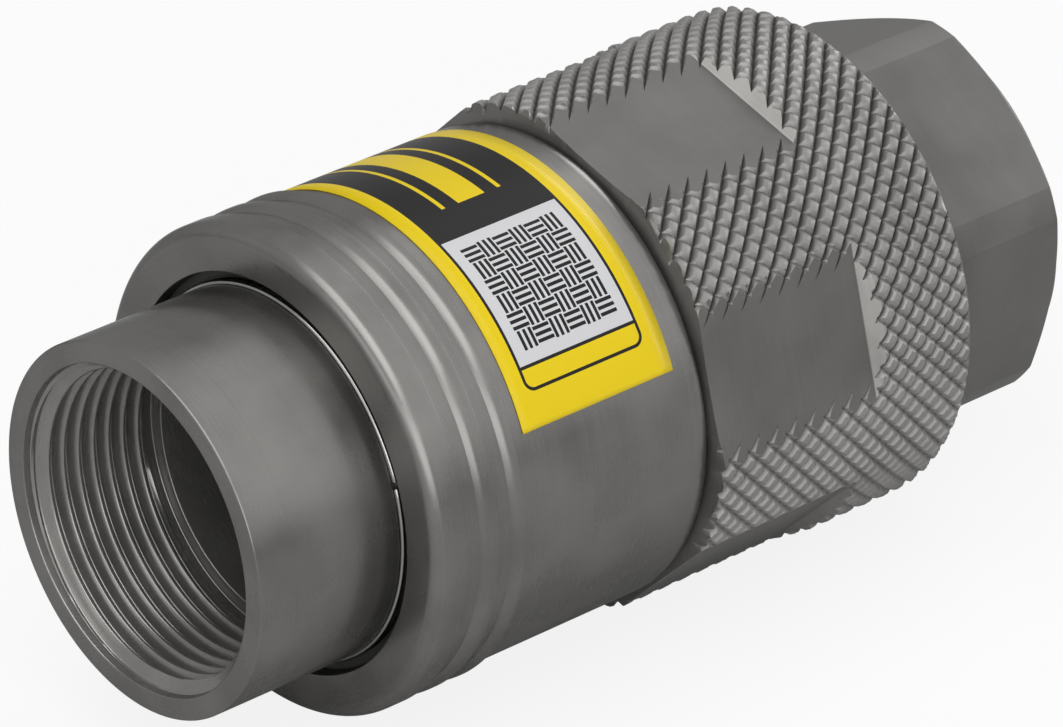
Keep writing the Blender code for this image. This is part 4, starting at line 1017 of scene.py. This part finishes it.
def add_relief(tree, shader, height, strength, distance=0.05 * MM):
    """Let a height lift the shader's surface."""
    lumps = node(tree, "ShaderNodeBump", {"Height": height, "Strength": strength, "Distance": distance})
    tree.links.new(lumps.outputs[0], shader.inputs["Normal"])


def between(tree, value, low, high):
    """1 where a value lies between low and high, else 0."""
    return compute(tree, "COMPARE", value, 0.5 * (low + high), 0.5 * (high - low))


def blend_colours(tree, share, low, high):
    """Mix of two colours."""
    mix = node(tree, "ShaderNodeMix", {"Factor": share}, data_type="RGBA")
    for index, colour in ((6, low), (7, high)):
        if isinstance(colour, bpy.types.NodeSocket):
            tree.links.new(colour, mix.inputs[index])
        else:
            mix.inputs[index].default_value = (*colour, 1.0)
    return mix.outputs[2]


def spread(tree, value, low, high, from_low=0.0, from_high=1.0):
    """A value carried from one range to another and kept inside it."""
    inputs = {"Value": value, "From Min": from_low, "From Max": from_high, "To Min": low, "To Max": high}
    return node(tree, "ShaderNodeMapRange", inputs).outputs[0]


def new_material(name, metallic, roughness):
    """Empty Principled material, its tree and its shader."""
    material = bpy.data.materials.new(name)
    material.use_nodes = True
    shader = material.node_tree.nodes["Principled BSDF"]
    shader.inputs["Metallic"].default_value = metallic
    shader.inputs["Roughness"].default_value = roughness
    return material, material.node_tree, shader


def machined_metal(name, dark, light, roughness, marks=0.5, flats=False, metallic=0.8, grooves=None):
    """Machined metal: soft clouds, fine marks that follow the turning tool, and a satin grain.

    The marks are noise read by station and radius alone, so they run round the axis on sides and
    faces alike. On milled flats they are read in space, stretched square to the axis. Where grooves
    gives two radii and a share, the colour falls to that share from the outer radius to the inner,
    which is painted shade in the grooves.
    """
    material, tree, shader = new_material(name, metallic, roughness)
    shader.inputs["Specular Tint"].default_value = (EDGE_TINT, EDGE_TINT, EDGE_TINT, 1.0)
    shader.inputs["Specular IOR Level"].default_value = 0.3
    place = node(tree, "ShaderNodeTexCoord").outputs["Object"]
    parts = node(tree, "ShaderNodeSeparateXYZ", {"Vector": place}).outputs
    square = node(tree, "ShaderNodeCombineXYZ", {"Y": parts["Y"], "Z": parts["Z"]}).outputs[0]
    radius = node(tree, "ShaderNodeVectorMath", {0: square}, operation="LENGTH").outputs["Value"]
    if flats:
        stretched = {"Vector": place, "Scale": (1.0, 0.04, 0.04)}
        tool_path = node(tree, "ShaderNodeMapping", stretched).outputs[0]
    else:
        tool_path = node(tree, "ShaderNodeCombineXYZ", {"X": parts["X"], "Y": radius}).outputs[0]
    lines = noise(tree, tool_path, MARKS_SCALE, 4.0, 0.6)
    clouds = noise(tree, place, CLOUDS_SCALE, 3.0)
    grain = noise(tree, place, GRAIN_SCALE, 2.0)
    tone = weigh(tree, lines, 0.5 * marks, clouds, 1.0 - 0.5 * marks)
    colour = blend_colours(tree, spread(tree, tone, 0.0, 1.0, *NOISE_SPAN), dark, light)
    if grooves:
        inner, outer, share = grooves
        depth = spread(tree, radius, 0.0, 1.0, inner, outer)
        # painted shade: the colour falls towards the floor of each groove
        painted_groove_shade = tuple(channel * share for channel in dark)
        colour = blend_colours(tree, depth, painted_groove_shade, colour)
    tree.links.new(colour, shader.inputs["Base Color"])
    polish = weigh(tree, lines, 0.3, clouds, 0.7)
    gloss = spread(tree, polish, roughness - 0.07, roughness + 0.08, *NOISE_SPAN)
    tree.links.new(gloss, shader.inputs["Roughness"])
    add_relief(tree, shader, weigh(tree, lines, 0.8, grain, 0.15), 0.05)
    return material


def soft_material(name, dark, light, roughness):
    """Rubber or plastic: a dull colour with a fine mottle."""
    material, tree, shader = new_material(name, 0.0, roughness)
    place = node(tree, "ShaderNodeTexCoord").outputs["Object"]
    mottle = noise(tree, place, 900.0, 3.0)
    tree.links.new(blend_colours(tree, mottle, dark, light), shader.inputs["Base Color"])
    add_relief(tree, shader, mottle, 0.15)
    return material


def rounded_frame(tree, across, up):
    """Distance outside the label's box with rounded corners, in millimetres, negative inside it.

    It is the length of how far a point lies past the centres of the corners, less the rounding.
    """
    over = []
    for place, low, high in (
        (across, PANEL_MIDDLE - BOX_HALF_WIDTH, PANEL_MIDDLE + BOX_HALF_WIDTH),
        (up, BOX_LOW, BOX_HIGH),
    ):
        away = compute(tree, "ABSOLUTE", compute(tree, "SUBTRACT", place, 0.5 * (low + high)))
        past = compute(tree, "SUBTRACT", away, 0.5 * (high - low) - BOX_ROUNDING)
        over.append(compute(tree, "MAXIMUM", past, 0.0))
    squares = weigh(tree, over[0], over[0], over[1], over[1])
    return compute(tree, "SUBTRACT", compute(tree, "SQRT", squares), BOX_ROUNDING)


def basket_weave(tree, across, up):
    """1 on the bars of a basket weave in the white panel, whose square blocks lie turned by turns."""
    half = 0.5 * BLOCKS * BLOCK
    right = compute(tree, "SUBTRACT", across, PANEL_MIDDLE - half)
    above = compute(tree, "SUBTRACT", up, 0.5 * (PANEL_LOW + PANEL_HIGH) - half)
    numbers = []
    bars = []
    inside = []
    for place in (right, above):
        numbers.append(compute(tree, "FLOOR", compute(tree, "DIVIDE", place, BLOCK)))
        phase = compute(tree, "FRACT", both(tree, place, BARS_PER_BLOCK / BLOCK))
        bars.append(between(tree, phase, 0.5 - 0.5 * BAR_SHARE, 0.5 + 0.5 * BAR_SHARE))
        inside.append(between(tree, place, 0.0, 2.0 * half))
    turned_block = compute(tree, "FLOORED_MODULO", compute(tree, "ADD", *numbers), 2.0)
    bar = compute(tree, "MULTIPLY_ADD", turned_block, compute(tree, "SUBTRACT", *bars), bars[1])
    return both(tree, bar, both(tree, *inside))


def label_material():
    """Print of the label: yellow ground, black panel with stripes, white panel with a basket weave."""
    material, tree, shader = new_material("label_print", 0.0, 0.38)
    shader.inputs["Specular IOR Level"].default_value = 0.2
    print_place = node(tree, "ShaderNodeUVMap", uv_map="print").outputs[0]
    parts = node(tree, "ShaderNodeSeparateXYZ", {"Vector": print_place}).outputs
    across = both(tree, parts["X"], LABEL_WIDTH)
    up = both(tree, parts["Y"], LABEL_HEIGHT)
    outer = rounded_frame(tree, across, up)
    inner = compute(tree, "ADD", outer, LINE_WIDTH)
    inside = compute(tree, "LESS_THAN", outer, 0.0)
    line = both(tree, inside, compute(tree, "GREATER_THAN", inner, 0.0))
    rule = both(tree, inside, between(tree, up, PANEL_LOW - LINE_WIDTH, PANEL_LOW))
    dark_panel = both(tree, inside, compute(tree, "GREATER_THAN", up, PANEL_HIGH))
    ink = compute(tree, "MAXIMUM", compute(tree, "MAXIMUM", line, rule), dark_panel)
    within = compute(tree, "LESS_THAN", inner, 0.0)
    paper = both(tree, within, between(tree, up, PANEL_LOW, PANEL_HIGH))
    stripe = between(tree, across, *STRIPES[0])
    for edges in STRIPES[1:]:
        stripe = compute(tree, "MAXIMUM", stripe, between(tree, across, *edges))
    stripe_ends = between(tree, up, PANEL_HIGH + STRIPE_MARGIN, BOX_HIGH - STRIPE_MARGIN)
    stripe = both(tree, stripe, stripe_ends)
    weave = basket_weave(tree, across, up)
    colour = blend_colours(tree, ink, LABEL_YELLOW, LABEL_BLACK)
    colour = blend_colours(tree, paper, colour, LABEL_WHITE)
    colour = blend_colours(tree, both(tree, paper, weave), colour, LABEL_BLACK)
    colour = blend_colours(tree, both(tree, dark_panel, stripe), colour, LABEL_YELLOW)
    tree.links.new(colour, shader.inputs["Base Color"])
    place = node(tree, "ShaderNodeTexCoord").outputs["Object"]
    add_relief(tree, shader, noise(tree, place, 2500.0, 2.0), 0.08, 0.02 * MM)
    return material


def stage_camera():
    """Camera at the photograph's place, aimed along its principal ray, upright."""
    camera = bpy.data.objects.new("camera", bpy.data.cameras.new("camera"))
    camera.data.sensor_width = SENSOR_WIDTH
    camera.data.lens = LENS
    camera.data.clip_end = 20.0
    camera.location = CAMERA_PLACE
    camera.rotation_euler = (CAMERA_AIM - CAMERA_PLACE).to_track_quat("-Z", "Y").to_euler()
    show(camera)
    bpy.context.scene.camera = camera


def stage_floor():
    """Pale floor under the coupling. The camera sees it mostly by its own glow, so it stays white."""
    half = 3.0
    height = float(cad_box[0][2]) - 0.2 * MM
    mesh = bpy.data.meshes.new("floor")
    corners = [(-half, -half, height), (half, -half, height), (half, half, height), (-half, half, height)]
    mesh.from_pydata(corners, [], [(0, 1, 2, 3)])
    floor = show(bpy.data.objects.new("floor", mesh))
    material = bpy.data.materials.new("floor_paper")
    material.use_nodes = True
    tree = material.node_tree
    tree.nodes.clear()
    rays = node(tree, "ShaderNodeLightPath").outputs
    seen = compute(tree, "MAXIMUM", rays["Is Camera Ray"], rays["Is Transmission Ray"])
    share = compute(tree, "MULTIPLY", seen, FLOOR_GLOW)
    shade = spread(tree, rays["Is Glossy Ray"], FLOOR_SHADE, FLOOR_SHADE_IN_GLOSS)
    paper = node(tree, "ShaderNodeBsdfDiffuse", {"Color": shade})
    glow = node(tree, "ShaderNodeEmission", {"Color": (1.0, 1.0, 1.0, 1.0), "Strength": 1.0})
    mix = node(tree, "ShaderNodeMixShader", {0: share, 1: paper.outputs[0], 2: glow.outputs[0]})
    out = node(tree, "ShaderNodeOutputMaterial")
    tree.links.new(mix.outputs[0], out.inputs["Surface"])
    floor.data.materials.append(material)


def stage_world():
    """White room: the camera sees it plain white, and the gloss sees it brighter to one side.

    The brightness grows with the cosine of the angle to ROOM_BRIGHT_SIDE.
    """
    world = bpy.data.worlds.new("room")
    bpy.context.scene.world = world
    world.use_nodes = True
    tree = world.node_tree
    tree.nodes.clear()
    rays = node(tree, "ShaderNodeLightPath").outputs
    looks = node(tree, "ShaderNodeTexCoord").outputs["Generated"]
    towards = node(tree, "ShaderNodeVectorMath", {0: looks, 1: ROOM_BRIGHT_SIDE}, operation="DOT_PRODUCT")
    room = spread(tree, towards.outputs["Value"], *ROOM_LEVELS, *ROOM_EDGE)
    kind = spread(tree, rays["Is Glossy Ray"], ROOM_SOFT_LIGHT, 1.0)
    light = compute(tree, "MULTIPLY", room, kind)
    seen = compute(tree, "MAXIMUM", rays["Is Camera Ray"], rays["Is Transmission Ray"])
    strength = compute(tree, "MULTIPLY_ADD", seen, compute(tree, "SUBTRACT", 1.0, light), light)
    paint = node(tree, "ShaderNodeBackground", {"Color": (1.0, 1.0, 1.0, 1.0), "Strength": strength})
    out = node(tree, "ShaderNodeOutputWorld")
    tree.links.new(paint.outputs[0], out.inputs["Surface"])


def stage_lamp(name, direction, along, size, radiance):
    """Rectangular soft light that faces the coupling, with its long side along a direction."""
    outward = Vector(direction).normalized()
    across = outward.cross(Vector(along)).normalized()
    turn = Matrix((across.cross(outward), across, outward)).transposed()
    data = bpy.data.lights.new(name, "AREA")
    data.shape = "RECTANGLE"
    data.size, data.size_y = size
    data.energy = radiance * math.pi * size[0] * size[1]
    lamp = show(bpy.data.objects.new(name, data))
    lamp.matrix_world = Matrix.Translation(Vector(LAMP_AIM) + outward * LAMP_DISTANCE) @ turn.to_4x4()


def dress(piece, body, material, slot, *nodes):
    """Give a new piece its material and body, and hide the nodes of the frame that it stands for; slot is
    not used.
    """
    piece.data.materials.clear()
    piece.data.materials.append(material)
    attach(piece, body)
    if nodes:
        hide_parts(*nodes)


def repaint(name, material):
    """Give a node of the frame another finish."""
    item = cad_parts[name]
    item.data.materials.clear()
    item.data.materials.append(material)


def build():
    """Dress the whole coupling."""
    plated = machined_metal("plated_steel_turned", (0.176, 0.172, 0.166), (0.232, 0.227, 0.218), 0.28)
    milled = machined_metal(
        "plated_steel_milled", (0.128, 0.125, 0.120), (0.164, 0.161, 0.154), 0.40, flats=True, metallic=0.35
    )
    # Lighter copy of the milled finish on the flats' walls: partly a glossier finish, partly painted light
    # that brightens the walls
    wall = machined_metal(
        "plated_steel_milled_wall_painted_light", (0.26, 0.255, 0.245), (0.36, 0.353, 0.338), 0.34, flats=True
    )
    knurled = machined_metal(
        "plated_steel_knurled",
        (0.225, 0.221, 0.213),
        (0.300, 0.295, 0.285),
        0.36,
        metallic=0.4,
        marks=0.45,
        grooves=KNURL_SHADE,
    )
    cone = machined_metal("plated_steel_cone", (0.175, 0.172, 0.165), (0.22, 0.216, 0.208), 0.32)
    # Lighter copy of the turned finish inside the port: partly a more diffuse finish, partly painted light
    # that lifts the shade in the bore and its thread valleys
    threaded = machined_metal(
        "plated_steel_thread_painted_light", (0.235, 0.230, 0.221), (0.300, 0.294, 0.282), 0.26, marks=0.3, metallic=0.7
    )
    # Painted shade: a near-black copy of the plated finish for the wall and floor of the sleeve's mouth,
    # where shade falls
    painted_recess_shade = machined_metal(
        "plated_steel_painted_recess_shade", (0.060, 0.059, 0.056), (0.085, 0.083, 0.080), 0.45, marks=0.3, metallic=0.5
    )
    bright = machined_metal("turned_steel", (0.27, 0.26, 0.25), (0.36, 0.35, 0.34), 0.28, metallic=0.9)
    wire_finish = machined_metal(
        "ring_wire_steel", (0.33, 0.326, 0.318), (0.40, 0.395, 0.385), 0.22, marks=0.2, metallic=1.0
    )
    spring = machined_metal(
        "spring_steel", (0.42, 0.41, 0.40), (0.52, 0.51, 0.50), 0.22, marks=0.2, metallic=1.0
    )
    bronze = machined_metal("bearing_bronze", (0.36, 0.22, 0.09), (0.46, 0.30, 0.13), 0.34, metallic=0.9)
    rubber = soft_material("seal_rubber", (0.010, 0.010, 0.010), (0.022, 0.022, 0.022), 0.55)
    plastic = soft_material("backup_ring_plastic", (0.72, 0.70, 0.64), (0.80, 0.78, 0.72), 0.45)

    tube = build_port_tube()
    dress(tube, "male_half", plated, "plated_steel", "male_port_tube")
    tube.data.materials.append(threaded)
    inside = recessed_faces(tube.data, TUBE_FRONT - 0.05 * MM, PORT_EDGE_RADIUS)
    tube.data.polygons.foreach_set("material_index", inside)
    sleeve = build_label_sleeve()
    dress(sleeve, "male_half", plated, "plated_steel", "label_sleeve")
    # The sleeve's mouth takes the painted shade
    sleeve.data.materials.append(painted_recess_shade)
    inside = recessed_faces(sleeve.data, SLEEVE_FRONT - 0.2 * MM, SLEEVE_MOUTH_RADIUS + 0.02 * MM)
    sleeve.data.polygons.foreach_set("material_index", inside)
    dress(build_label(), "male_half", label_material(), "plastic")
    dress(build_retaining_ring(), "male_half", wire_finish, "spring_steel", "sleeve_retaining_ring")
    dress(build_male_body(), "male_half", plated, "plated_steel", "male_front_body")
    dress(build_poppet(), "poppet", bright, "turned_steel", "poppet")
    nut = build_locking_nut()
    dress(nut, "locking_nut", knurled, "plated_steel", "locking_nut")
    for material in (milled, wall, cone):
        nut.data.materials.append(material)
    finish = milled_faces(nut.data)
    nut.data.polygons.foreach_set("material_index", finish)
    nut.data.polygons.foreach_set("use_smooth", (finish == 0) | (finish == 3))
    dress(build_hexagon_body(), "female_half", milled, "plated_steel", "female_port_body")
    dress(build_socket(), "female_half", bright, "turned_steel", "female_socket")
    dress(build_stem(), "female_half", bright, "turned_steel", "valve_stem")
    dress(build_valve_sleeve(), "valve_sleeve", bright, "turned_steel", "valve_sleeve")

    for name, ends, bodies in (
        ("rear_coil_spring", REAR_SPRING, ("female_half", "valve_sleeve")),
        ("front_coil_spring", FRONT_SPRING, ("poppet", "male_half")),
    ):
        rear, front, inner, outer = ends
        coil = build_spring(name, rear, front, inner, outer)
        coil.data.materials.append(spring)
        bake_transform(coil)
        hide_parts("valve_sleeve_spring" if name == "rear_coil_spring" else "poppet_spring")

    for name in ("socket_seal", "female_body_seal", "stem_seal", "poppet_seal", "male_body_seal"):
        repaint(name, rubber)
    repaint("socket_backup_ring", plastic)
    repaint("nut_bearing_ring", bronze)
    repaint("stem_nut", plated)
    for name in ("stem_guide", "poppet_guide"):
        repaint(name, bright)

    stage_camera()
    stage_floor()
    stage_world()
    for lamp in LAMPS:
        stage_lamp(*lamp)
    bpy.context.scene.view_settings.view_transform = "Standard"


build()
